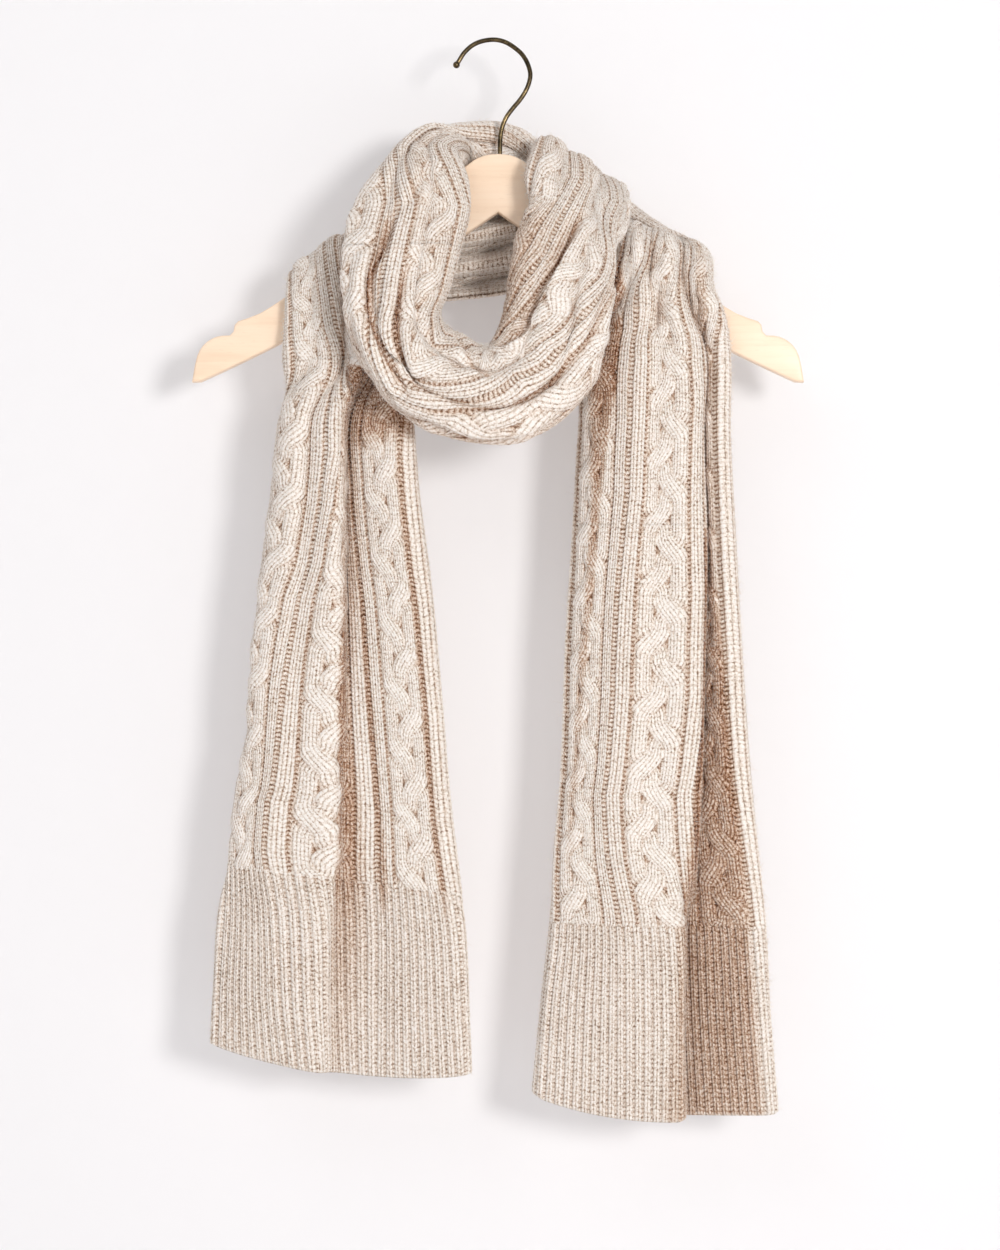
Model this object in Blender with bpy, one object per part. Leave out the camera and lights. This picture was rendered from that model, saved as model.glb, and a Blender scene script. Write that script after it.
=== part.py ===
"""Knit scarf wrapped once around a flat wooden hanger.

Frame: metres, +Z up, +X to the wearer's left arm as seen from the front,
-Y is the front.  The origin is the inner top of the hanger's hook.

The scarf is one long strip of chunky knit.  Each stretch is a wall lofted
through sections.  A section is a fold profile set between the strip's outer
and inner side; its depth is worked out so that the section is as long as the
cloth is wide there: narrower where the knit is squeezed into a gather.
"""

import math

import bmesh
import bpy
import numpy as np

MM = 0.001

# ---- scarf -----------------------------------------------------------------
CLOTH_THICK = 4.4          # mm, wall of the knit
CLOTH_SQUEEZED = 2.8       # mm, wall where the knit is gathered tightest
WIDTH_SQUEEZED = 84.0      # mm, cloth width at which it is that thin
WIDTH_LOOSE = 158.0        # mm, cloth width from which it has its full wall
CLOTH_GAP = 0.8            # mm between two stretches, along the cloth
COLUMNS = 24               # facets across the strip
PITCH = 32.0               # mm, longest facet along the strip

# ---- hanger ----------------------------------------------------------------
WOOD_X = 2.9               # mm, middle of the hanger
WOOD_THICK = 12.0          # mm
WOOD_EASE = 1.6            # mm, eased long edges
STEM_X = 4.3               # mm, the hook's stem
WIRE_R = 1.65              # mm
BALL_R = 2.5               # mm, tip of the hook
BORE_R = 1.95              # mm, hole that the stem stands in
BORE_DEPTH = 24.0          # mm

# Half outline of the hanger, from its middle to the arm's end (mm).
# out: distance from the middle, top: height of that point
ARM_TOP = (
    # out,   top
    (0.0,   -81.4),
    (8.0,   -82.2),
    (14.5,  -84.4),
    (20.0,  -87.8),
    (30.0,  -95.6),
    (70.0,  -124.4),
    (110.0, -153.2),
    (140.0, -174.8),
    (156.0, -186.6),
    (171.0, -196.0),
    (180.0, -199.6),
    (187.0, -201.8),
    (189.6, -204.6),
    (190.4, -209.2),
    (193.0, -212.0),
    (198.4, -212.2),
    (206.0, -214.4),
    (212.4, -219.4),
    (216.6, -227.0),
    (219.6, -242.0),
    (220.2, -245.6),
)
CHEVRON_TOP = -123.4       # mm, underside at the middle
CHEVRON_SLOPE = 0.69       # drop for each mm out
CHEVRON_EASE = 0.000565    # per mm, how the slope flattens
CHEVRON_STEPS = 14

# Middle of the hook's wire, from its tip round to the stem (mm).
HOOK = (
    # x,      z
    (-26.0,  -14.8),
    (-21.0,  -7.2),
    (-13.8,  -1.4),
    (-5.8,   1.2),
    (1.4,    1.6),
    (8.4,   -0.2),
    (14.4,  -3.8),
    (20.6,  -9.4),
    (24.6,  -16.6),
    (26.2,  -23.6),
    (25.2,  -29.6),
    (22.6,  -35.8),
    (18.6,  -41.9),
    (13.5,  -48.0),
    (9.0,   -54.2),
    (6.4,   -60.0),
    (4.9,   -66.5),
    (4.3,   -74.0),
    (4.3,   -82.0),
    (4.3,   -103.0),
)

# Fold profiles: share of the way from the outer to the inner side, and how far
# the cloth stands out there (mm before the depth is worked out).
FOLDS = {
    "fan_soft": (  # share, depth
        (0.00, 0), (0.08, 8), (0.17, 10), (0.25, 7), (0.33, 3),
        (0.41, 6), (0.50, 8), (0.59, 6), (0.68, 3), (0.76, 5),
        (0.84, 7), (0.92, 5), (1.00, 0),
    ),
    "gather_low": (  # share, depth
        (0.00, 0), (0.08, 13), (0.17, 19), (0.25, 12), (0.33, 3),
        (0.41, 9), (0.50, 12), (0.59, 7), (0.67, 1), (0.75, 5),
        (0.83, 7), (0.92, 4), (1.00, 0),
    ),
    "slab": (  # share, depth
        (0.12, -8), (0.00, -6), (0.00, 1), (0.08, 7), (0.18, 9),
        (0.28, 5), (0.36, 2), (0.50, 9), (0.62, 5), (0.68, 2),
        (0.80, 8), (0.93, 4), (1.00, -2), (0.95, -9),
    ),
    "fan_top": (  # share, depth
        (0.00, 0), (0.08, 12), (0.17, 15), (0.25, 8), (0.33, 1),
        (0.41, 9), (0.50, 14), (0.59, 8), (0.67, 1), (0.75, 8),
        (0.83, 13), (0.92, 9), (1.00, 0),
    ),
    "rib_left": (  # share, depth
        (0.02, -11), (0.00, -4), (0.10, 2), (0.25, 5), (0.39, 8),
        (0.42, 5), (0.47, -7), (0.62, -5), (0.82, 2), (0.97, 1),
        (1.00, -4),
    ),
    "mid_left": (  # share, depth
        (0.08, -16), (0.01, -10), (0.04, 0), (0.17, 5), (0.30, 5),
        (0.42, 9), (0.45, 6), (0.48, -8), (0.59, -5), (0.72, 0),
        (0.86, 3), (0.97, 2), (1.00, -4),
    ),
    "hang_left": (  # share, depth
        (0.16, -20), (0.02, -15), (0.03, -1), (0.14, 6), (0.25, 4),
        (0.34, 7), (0.43, 9), (0.46, 6), (0.49, -9), (0.58, -4),
        (0.71, 1), (0.86, 4), (0.97, 2), (1.00, -4),
    ),
    "over_left": (  # share, depth
        (0.00, 0), (0.04, 5), (0.13, 7), (0.24, 6), (0.34, 8),
        (0.43, 7), (0.50, 2), (0.57, 8), (0.65, 13), (0.72, 8),
        (0.79, 2), (0.86, 7), (0.93, 9), (1.00, 1),
    ),
    "over_right": (  # share, depth
        (0.00, 0), (0.03, 5), (0.12, 8), (0.24, 6), (0.33, 3),
        (0.42, 7), (0.52, 10), (0.62, 7), (0.70, 4), (0.78, 8),
        (0.88, 10), (0.97, 6), (1.00, 1),
    ),
    "gather": (  # share, depth
        (0.00, 0), (0.08, 12), (0.17, 18), (0.25, 10), (0.33, 1),
        (0.41, 11), (0.50, 19), (0.59, 11), (0.67, 1), (0.75, 10),
        (0.83, 17), (0.92, 11), (1.00, 0),
    ),
    "branch": (  # share, depth
        (0.32, -10), (0.15, -11), (0.03, -9), (0.00, 0), (0.07, 8),
        (0.20, 12), (0.30, 9), (0.42, 14), (0.58, 14), (0.69, 9),
        (0.80, 10), (0.94, 4), (1.00, -5), (0.95, -14), (0.80, -16),
        (0.62, -15),
    ),
    "roll": (  # share, depth
        (0.40, -10), (0.20, -11), (0.03, -9), (-0.02, 0), (0.06, 8),
        (0.22, 11), (0.34, 7), (0.50, 9), (0.66, 6), (0.80, 7),
        (0.97, 2), (1.02, -7), (0.95, -15), (0.74, -18), (0.55, -18),
    ),
    "fan_right": (  # share, depth
        (0.00, 0), (0.06, 8), (0.13, 10), (0.20, 5), (0.27, 0),
        (0.34, 6), (0.41, 9), (0.48, 5), (0.54, 1), (0.62, 8),
        (0.70, 10), (0.78, 6), (0.84, 1), (0.92, 6), (1.00, 0),
    ),
    "hang_right": (  # share, depth
        (0.00, -5), (0.03, 2), (0.07, 3), (0.12, -2), (0.14, -8),
        (0.18, -8), (0.21, 4), (0.30, 8), (0.48, 6), (0.62, 9),
        (0.78, 6), (0.92, 1), (1.00, -9), (0.96, -20),
    ),
    "slope_right": (  # share, depth
        (0.00, -5), (0.02, 3), (0.08, 4), (0.14, -2), (0.20, -11),
        (0.24, 4), (0.32, 8), (0.48, 6), (0.62, 9), (0.78, 6),
        (0.92, 1), (1.00, -9), (0.96, -20),
    ),
    "low_right": (  # share, depth
        (0.00, -5), (0.02, 3), (0.09, 4), (0.16, -3), (0.26, -13),
        (0.28, 5), (0.37, 8), (0.50, 6), (0.63, 9), (0.79, 6),
        (0.92, 1), (1.00, -8), (0.97, -19),
    ),
    "mid_right": (  # share, depth
        (0.00, -6), (0.01, 3), (0.07, 4), (0.18, -4), (0.30, -14),
        (0.33, 5), (0.42, 8), (0.54, 7), (0.64, 9), (0.80, 5),
        (0.93, 1), (1.00, -8), (0.98, -18),
    ),
    "rib_right": (  # share, depth
        (0.00, -3), (0.01, 3), (0.05, 4), (0.22, -6), (0.37, -13),
        (0.40, 5), (0.52, 8), (0.72, 7), (0.88, 4), (0.98, 0),
        (1.00, -7),
    ),
}

# Sections of the strip, from the left end's hem to the right end's hem (mm).
# outer and inner: the two sides of the section; out: the way its face looks
SECTIONS = (
    # stretch       outer x,  y,    z     inner x,  y,    z      out x, y,  z   fold            cloth
    ("tail_left",   -201,  -20,  -718,    -16,  -22,  -740,     0,   -1,    0,  "rib_left",   204),
    ("tail_left",   -198,  -20,  -678,    -18,  -22,  -699,     0,   -1,    0,  "rib_left",   204),
    ("tail_left",   -193,  -20,  -617,    -21,  -22,  -638,     0,   -1,    0,  "rib_left",   198),
    ("tail_left",   -188,  -20,  -578,    -25,  -22,  -597,     0,   -1,    0,  "mid_left",   184),
    ("tail_left",   -183,  -20,  -535,    -31,  -22,  -551,     0,   -1,    0,  "mid_left",   175),
    ("tail_left",   -174,  -20,  -460,    -38,  -22,  -472,     0,   -1,    0,  "hang_left",  172),
    ("tail_left",   -166,  -20,  -388,    -46,  -22,  -396,     0,   -1,    0,  "hang_left",  172),
    ("tail_left",   -157,  -20,  -318,    -56,  -22,  -323,     0,   -1,    0,  "hang_left",  172),
    ("tail_left",   -151,  -22,  -271,    -60,  -22,  -274,     0,   -1,    0,  "hang_left",  166),
    ("neck_back",   -149,  -15,  -234,    -64,  -18,  -231,     0,   -1,    0,  "over_left",  126),
    ("neck_back",   -148,  -13,  -203,    -66,  -15,  -185,  -0.1,   -1,  0.1,  "over_left",  112),
    ("neck_back",   -147,  -11,  -183,    -66,  -14,  -136,  -0.2,   -1,  0.4,  "over_left",  110),
    ("neck_back",   -144,    0,  -171,    -65,   -4,  -115,  -0.5, -0.2, 0.85,  "over_left",  112),
    ("neck_back",   -128,   11,  -173,    -61,    9,  -115,  -0.4,  0.8, 0.45,  "over_left",  118),
    ("neck_back",    -83,   13,  -186,    -42,   11,  -121,  -0.1,    1,  0.1,  "gather",     130),
    ("neck_back",    -31,   12,  -183,    -16,   10,  -117,     0,    1,    0,  "gather",     130),
    ("neck_back",     15,   12,  -177,      7,   10,  -111,     0,    1,    0,  "gather",     126),
    ("loop",          52,   12,  -164,     23,   10,   -99,   0.2,    1,  0.1,  "gather_low", 116),
    ("loop",          77,   12,  -145,     28,   10,   -89,  0.35,  0.9,  0.3,  "gather_low", 102),
    ("loop",          87,    9,  -129,     28,    8,   -80,   0.4,  0.5,  0.7,  "over_right", 98),
    ("loop",          91,   -1,  -117,     29,   -2,   -78,  0.35, -0.1,  0.9,  "over_right", 98),
    ("loop",          92,  -12,  -124,     26,  -11,   -88,   0.3, -0.6,  0.7,  "over_right", 106),
    ("loop",          90,  -22,  -142,     24,  -18,  -106,   0.1,   -1,  0.3,  "over_right", 122),
    ("loop",          83,  -42,  -168,     22,  -36,  -137,  0.05,   -1,  0.1,  "branch",     144),
    ("loop",          78,  -56,  -200,     14,  -48,  -169,     0,   -1,    0,  "branch",     158),
    ("loop",          73,  -60,  -231,      9,  -54,  -202,     0,   -1,    0,  "branch",     160),
    ("loop",          61,  -62,  -258,      2,  -58,  -221,     0,   -1,    0,  "branch",     160),
    ("loop",          40,  -62,  -278,     -3,  -60,  -227,     0,   -1,    0,  "branch",     160),
    ("loop",          14,  -62,  -288,     -8,  -60,  -227,     0,   -1,    0,  "branch",     160),
    ("loop",         -14,  -62,  -288,    -12,  -60,  -226,     0,   -1,    0,  "branch",     160),
    ("loop",         -39,  -62,  -282,    -19,  -60,  -222,     0,   -1,    0,  "branch",     160),
    ("loop",         -63,  -62,  -269,    -27,  -60,  -218,     0,   -1,    0,  "branch",     160),
    ("loop",         -82,  -62,  -247,    -36,  -59,  -212,     0,   -1,    0,  "branch",     160),
    ("loop",         -96,  -62,  -221,    -40,  -59,  -201,     0,   -1,    0,  "branch",     160),
    ("loop",        -103,  -60,  -190,    -34,  -57,  -184,     0,   -1,    0,  "branch",     160),
    ("neck_top",    -103,  -54,  -157,    -26,  -52,  -154,  -0.1,   -1, -0.05,  "branch",     158),
    ("neck_top",     -97,  -42,  -127,    -20,  -44,  -125,  -0.2,   -1,  0.2,  "branch",     152),
    ("neck_top",     -87,  -30,  -103,    -22,  -40,  -102,  -0.3,   -1, 0.35,  "branch",     138),
    ("neck_top",     -69,  -12,   -83,    -30,  -26,   -82,  -0.2,   -1,  0.5,  "roll",       116),
    ("neck_top",     -51,    6,   -68,    -20,    2,   -76,  -0.1,   -1,  0.8,  "roll",       110),
    ("neck_top",     -31,   18,   -60,    -10,   20,   -88,     0,   -1,  0.4,  "roll",       112),
    ("neck_top",       1,   22,   -57,      4,   24,   -98,     0,   -1, 0.12,  "roll",       116),
    ("neck_top",      40,   45,   -69,     26,   45,  -116,   0.1,   -1,  0.1,  "slab",       108),
    ("tail_right",    78,   50,   -86,     61,   50,  -133,   0.2,   -1,  0.2,  "fan_top",    92),
    ("tail_right",   113,   34,  -113,     88,   42,  -141,   0.3,   -1, 0.25,  "fan_soft",   60),
    ("tail_right",   140,   11,  -135,     99,   20,  -139,   0.4, -0.8,  0.4,  "fan_soft",   53),
    ("tail_right",   155,   -4,  -154,     93,   -7,  -133,   0.3, -0.9, 0.35,  "fan_soft",   74),
    ("tail_right",   156,  -10,  -179,     89,  -16,  -158,   0.2,   -1,  0.2,  "fan_top",    102),
    ("tail_right",   163,  -13,  -197,     79,  -15,  -185,   0.1,   -1,  0.1,  "fan_right",  128),
    ("tail_right",   167,  -17,  -226,     69,  -16,  -221,     0,   -1,    0,  "hang_right", 166),
    ("tail_right",   167,  -18,  -281,     64,  -18,  -278,     0,   -1,    0,  "hang_right", 172),
    ("tail_right",   171,  -18,  -360,     59,  -18,  -360,     0,   -1,    0,  "hang_right", 172),
    ("tail_right",   175,  -18,  -438,     54,  -18,  -438,     0,   -1,    0,  "slope_right", 172),
    ("tail_right",   181,  -18,  -524,     51,  -18,  -523,     0,   -1,    0,  "low_right",  172),
    ("tail_right",   187,  -18,  -588,     46,  -18,  -586,     0,   -1,    0,  "mid_right",  174),
    ("tail_right",   192,  -18,  -639,     42,  -18,  -635,     0,   -1,    0,  "rib_right",  188),
    ("tail_right",   195,  -18,  -696,     36,  -18,  -689,     0,   -1,    0,  "rib_right",  202),
    ("tail_right",   201,  -18,  -769,     29,  -18,  -755,     0,   -1,    0,  "rib_right",  204),
)

NODES = {
    "tail_left": "scarf_tail_left",
    "neck_back": "scarf_neck_back",
    "loop": "scarf_front_loop",
    "neck_top": "scarf_neck_top",
    "tail_right": "scarf_tail_right",
}


def clear_scene():
    for thing in list(bpy.data.objects):
        bpy.data.objects.remove(thing, do_unlink=True)


def material(name, colour, rough, metal=0.0):
    mat = bpy.data.materials.new(name)
    mat.use_nodes = True
    node = mat.node_tree.nodes["Principled BSDF"]
    node.inputs["Base Color"].default_value = (*colour, 1.0)
    node.inputs["Roughness"].default_value = rough
    node.inputs["Metallic"].default_value = metal
    mat.diffuse_color = (*colour, 1.0)
    return mat


# ---- curves ----------------------------------------------------------------
# The ribbed ends hang lower in their middle than at their corners.
HEM_SAG = (
    # section, mm, lean towards the inner side
    (0, 12.5, 1.0),
    (1, 8.0, 1.0),
    (-1, 12.5, 1.35),
    (-2, 8.0, 1.35),
)
# Where the outer side slumps under its own weight.
SLUMP = (
    # section, mm
    (36, 2.0),
    (37, 5.5),
    (38, 4.0),
    (39, 1.5),
    (45, 5.0),
    (46, 3.0),
)


def smooth_curve(keys, values, at):
    """A smooth curve through `values`, placed at `keys`, read at `at`."""
    keys, values, at = (np.asarray(part, float) for part in (keys, values, at))
    shape = (-1,) + (1,) * (values.ndim - 1)
    gaps = np.diff(keys)
    slopes = (values[1:] - values[:-1]) / gaps.reshape(shape)
    turn = np.empty_like(values)
    turn[0], turn[-1] = slopes[0], slopes[-1]
    for k in range(1, len(keys) - 1):
        both = gaps[k - 1] + gaps[k]
        turn[k] = (slopes[k - 1] * gaps[k] + slopes[k] * gaps[k - 1]) / both
    k = np.clip(np.searchsorted(keys, at, side="right") - 1, 0, len(keys) - 2)
    gap = gaps[k].reshape(shape)
    t = (at.reshape(shape) - keys[k].reshape(shape)) / gap
    return ((2 * t**3 - 3 * t**2 + 1) * values[k]
            + (t**3 - 2 * t**2 + t) * gap * turn[k]
            + (3 * t**2 - 2 * t**3) * values[k + 1]
            + (t**3 - t**2) * gap * turn[k + 1])


def run_length(points):
    steps = np.linalg.norm(np.diff(points, axis=0), axis=-1)
    return np.concatenate([[0.0], np.cumsum(steps)])


def fold_curve(fold, chord, gain, count=240):
    """The fold profile over a chord, with its depth multiplied by gain."""
    points = np.array([(share * chord, depth * gain) for share, depth in fold])
    steps = np.linalg.norm(np.diff(points, axis=0), axis=1) ** 0.5
    keys = np.concatenate([[0.0], np.cumsum(steps)])
    return smooth_curve(keys, points, np.linspace(0.0, keys[-1], count))


def section(row, count):
    """Points across the strip at one section, evenly spaced in the cloth."""
    outer, inner, out = (np.array(row[k:k + 3], float) for k in (1, 4, 7))
    across = inner - outer
    chord = np.linalg.norm(across)
    across /= chord
    out = out - across * out.dot(across)
    out /= np.linalg.norm(out)
    low, high = 0.05, 6.0
    for _ in range(40):
        gain = (low + high) / 2
        curve = fold_curve(FOLDS[row[10]], chord, gain)
        if run_length(curve)[-1] < row[11]:
            low = gain
        else:
            high = gain
    length = run_length(curve)
    even = np.linspace(0.0, length[-1], count)
    along = np.interp(even, length, curve[:, 0])
    depth = np.interp(even, length, curve[:, 1])
    return outer + np.outer(along, across) + np.outer(depth, out)


def strip(count):
    """All sections, how far along the strip each lies, and each stretch's span."""
    rings = np.array([section(row, count) for row in SECTIONS])
    place = np.linspace(0.0, 1.0, count)
    for k, sag, lean in HEM_SAG:
        rings[k, :, 2] -= sag * np.sin(math.pi * place ** lean) ** 0.75
    for k, drop in SLUMP:
        rings[k, :, 2] -= drop * (1.0 - place)
    steps = np.linalg.norm(np.diff(rings, axis=0), axis=2).mean(axis=1)
    reach = np.concatenate([[0.0], np.cumsum(steps)])
    spans = {}
    for k, row in enumerate(SECTIONS):
        start = spans.setdefault(row[0], [reach[k], reach[k]])
        start[1] = reach[min(k + 1, len(SECTIONS) - 1)]
    return rings, reach, spans


# ---- solids ----------------------------------------------------------------
def add_mesh(name, points, faces, mat, smooth=True):
    mesh = bpy.data.meshes.new(name)
    mesh.from_pydata([tuple(p) for p in points], [], faces)
    mesh.update()
    body = bpy.data.objects.new(name, mesh)
    bpy.context.scene.collection.objects.link(body)
    mesh.materials.append(mat)
    bm = bmesh.new()
    bm.from_mesh(mesh)
    bmesh.ops.recalc_face_normals(bm, faces=bm.faces)
    bm.to_mesh(mesh)
    bm.free()
    if smooth:
        mesh.shade_smooth()
    return body


def cloth_wall(name, grid, along, thick, mat):
    """A closed wall of the given thickness, row by row, on a grid of points (mm)."""
    across = np.gradient(grid, axis=1)
    out = np.cross(along, across)
    out /= np.linalg.norm(out, axis=2, keepdims=True)
    rows, cols = grid.shape[:2]
    front = grid + out * thick / 2
    back = grid - out * thick / 2
    points = np.concatenate([front.reshape(-1, 3), back.reshape(-1, 3)]) * MM
    far = rows * cols
    faces = []
    for r in range(rows - 1):
        for c in range(cols - 1):
            a = r * cols + c
            b, d, e = a + 1, a + cols, a + cols + 1
            faces.append((a, d, e, b))
            faces.append((far + a, far + b, far + e, far + d))
    rim = ([(0, c) for c in range(cols)] + [(r, cols - 1) for r in range(1, rows)]
           + [(rows - 1, c) for c in range(cols - 2, -1, -1)]
           + [(r, 0) for r in range(rows - 2, 0, -1)])
    loop = [r * cols + c for r, c in rim]
    for k, a in enumerate(loop):
        b = loop[(k + 1) % len(loop)]
        faces.append((a, b, far + b, far + a))
    return add_mesh(name, points, faces, mat)


def build_scarf(mat):
    rings, reach, spans = strip(COLUMNS + 1)
    widths = np.array([row[11] for row in SECTIONS], float)
    for stretch, (start, end) in spans.items():
        if start > 0.0:
            start += CLOTH_GAP / 2
        if end < reach[-1]:
            end -= CLOTH_GAP / 2
        stops = [start] + [r for r in reach if start + 1.0 < r < end - 1.0] + [end]
        at = [stops[0]]
        for low, high in zip(stops, stops[1:]):
            parts = max(1, math.ceil((high - low) / PITCH))
            at += [low + (high - low) * (k + 1) / parts for k in range(parts)]
        at = np.array(at)
        grid = smooth_curve(reach, rings, at)
        ahead = smooth_curve(reach, rings, np.minimum(at + 1.0, reach[-1]))
        behind = smooth_curve(reach, rings, np.maximum(at - 1.0, 0.0))
        squeezed = (WIDTH_LOOSE - np.interp(at, reach, widths)) / (WIDTH_LOOSE - WIDTH_SQUEEZED)
        thick = CLOTH_THICK - (CLOTH_THICK - CLOTH_SQUEEZED) * np.clip(squeezed, 0.0, 1.0)
        cloth_wall(NODES[stretch], grid, ahead - behind, thick[:, None, None], mat)


def underside(out):
    return CHEVRON_TOP - CHEVRON_SLOPE * out + CHEVRON_EASE * out * out


def build_hanger(mat):
    half = list(ARM_TOP)
    end = half[-1][0]
    low = [(end * (1 - k / CHEVRON_STEPS), underside(end * (1 - k / CHEVRON_STEPS)))
           for k in range(CHEVRON_STEPS + 1)]
    low = [(out, z) for out, z in low if out < end - 1.0]
    right = half + low                      # top middle, round the end, to the peak
    left = [(-out, z) for out, z in reversed(right[1:-1])]
    outline = right + left
    bm = bmesh.new()
    ring = [bm.verts.new(((WOOD_X + x) * MM, -WOOD_THICK / 2 * MM, z * MM))
            for x, z in outline]
    face = bm.faces.new(ring)
    grown = bmesh.ops.extrude_face_region(bm, geom=[face])
    moved = [v for v in grown["geom"] if isinstance(v, bmesh.types.BMVert)]
    bmesh.ops.translate(bm, verts=moved, vec=(0.0, WOOD_THICK * MM, 0.0))
    bmesh.ops.recalc_face_normals(bm, faces=bm.faces)
    mesh = bpy.data.meshes.new("hanger_wood")
    bm.to_mesh(mesh)
    bm.free()
    wood = bpy.data.objects.new("hanger_wood", mesh)
    bpy.context.scene.collection.objects.link(wood)
    mesh.materials.append(mat)
    # the hole for the stem
    bm = bmesh.new()
    bmesh.ops.create_cone(bm, cap_ends=True, segments=20, radius1=BORE_R * MM,
                          radius2=BORE_R * MM, depth=(BORE_DEPTH + 6.0) * MM)
    drill_mesh = bpy.data.meshes.new("stem_drill")
    bm.to_mesh(drill_mesh)
    bm.free()
    drill = bpy.data.objects.new("stem_drill", drill_mesh)
    drill.location = (STEM_X * MM, 0.0, (ARM_TOP[0][1] - BORE_DEPTH / 2 + 3.0) * MM)
    drill.hide_render = True
    drill.display_type = "WIRE"
    bpy.context.scene.collection.objects.link(drill)
    cut = wood.modifiers.new("stem_hole", "BOOLEAN")
    cut.operation = "DIFFERENCE"
    cut.object = drill
    ease = wood.modifiers.new("eased_edges", "BEVEL")
    ease.width = WOOD_EASE * MM
    ease.segments = 2
    ease.limit_method = "WEIGHT"
    weights = mesh.attributes.new("bevel_weight_edge", "FLOAT", "EDGE")
    for edge in mesh.edges:
        a, b = (mesh.vertices[k].co for k in edge.vertices)
        weights.data[edge.index].value = 1.0 if abs(a.y - b.y) < 1e-6 else 0.0
    wood.modifiers.move(1, 0)
    return wood


def build_hook(wire_mat):
    track = np.array(HOOK)
    keys = run_length(track)
    fine = smooth_curve(keys, track, np.linspace(0.0, keys[-1], 58))
    curve = bpy.data.curves.new("hanger_hook", "CURVE")
    curve.dimensions = "3D"
    spline = curve.splines.new("POLY")
    spline.points.add(len(fine) - 1)
    for point, (x, z) in zip(spline.points, fine):
        point.co = (x * MM, 0.0, z * MM, 1.0)
    curve.bevel_depth = WIRE_R * MM
    curve.bevel_resolution = 3
    curve.use_fill_caps = True
    hook = bpy.data.objects.new("hanger_hook", curve)
    curve.materials.append(wire_mat)
    bpy.context.scene.collection.objects.link(hook)
    # ball on the wire's tip, turned round the wire's own line
    way = (track[0] - track[1]) / np.linalg.norm(track[0] - track[1])
    seat = BALL_R + 0.3
    middle = track[0] + way * seat
    bm = bmesh.new()
    bmesh.ops.create_uvsphere(bm, u_segments=16, v_segments=10, radius=BALL_R * MM)
    mesh = bpy.data.meshes.new("hanger_hook_tip")
    bm.to_mesh(mesh)
    bm.free()
    mesh.shade_smooth()
    mesh.materials.append(wire_mat)
    ball = bpy.data.objects.new("hanger_hook_tip", mesh)
    ball.location = (middle[0] * MM, 0.0, middle[1] * MM)
    bpy.context.scene.collection.objects.link(ball)


clear_scene()
KNIT = material("oatmeal_knit", (0.74, 0.66, 0.58), 0.95)
WOOD = material("pale_beech", (0.80, 0.62, 0.43), 0.45)
WIRE = material("aged_brass", (0.30, 0.24, 0.15), 0.35, 1.0)
build_scarf(KNIT)
build_hanger(WOOD)
build_hook(WIRE)
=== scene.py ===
"""Looks of the knit scarf on its hanger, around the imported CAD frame.

The scarf's strip is the CAD strip again, from the same table of sections, as a
finer shell with every stitch on it: ribs, ladders of purl, and plaited cables.
Units in the tables are millimetres; objects are in metres.
"""
import math

import bmesh
import bpy
import numpy as np
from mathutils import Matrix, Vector


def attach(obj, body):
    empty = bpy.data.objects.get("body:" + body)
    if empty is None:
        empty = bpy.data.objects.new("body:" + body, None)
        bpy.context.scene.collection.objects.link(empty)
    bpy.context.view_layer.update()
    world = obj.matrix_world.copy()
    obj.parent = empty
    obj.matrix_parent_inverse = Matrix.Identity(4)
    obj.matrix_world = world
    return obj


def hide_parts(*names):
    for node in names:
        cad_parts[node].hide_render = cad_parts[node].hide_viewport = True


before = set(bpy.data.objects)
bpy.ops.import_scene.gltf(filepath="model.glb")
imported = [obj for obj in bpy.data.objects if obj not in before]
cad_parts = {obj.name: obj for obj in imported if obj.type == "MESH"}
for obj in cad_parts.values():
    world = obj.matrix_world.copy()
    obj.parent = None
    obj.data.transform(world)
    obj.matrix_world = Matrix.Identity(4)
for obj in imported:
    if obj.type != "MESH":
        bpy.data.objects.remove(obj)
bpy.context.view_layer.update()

MM = 0.001
RNG = np.random.default_rng(11)

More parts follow.
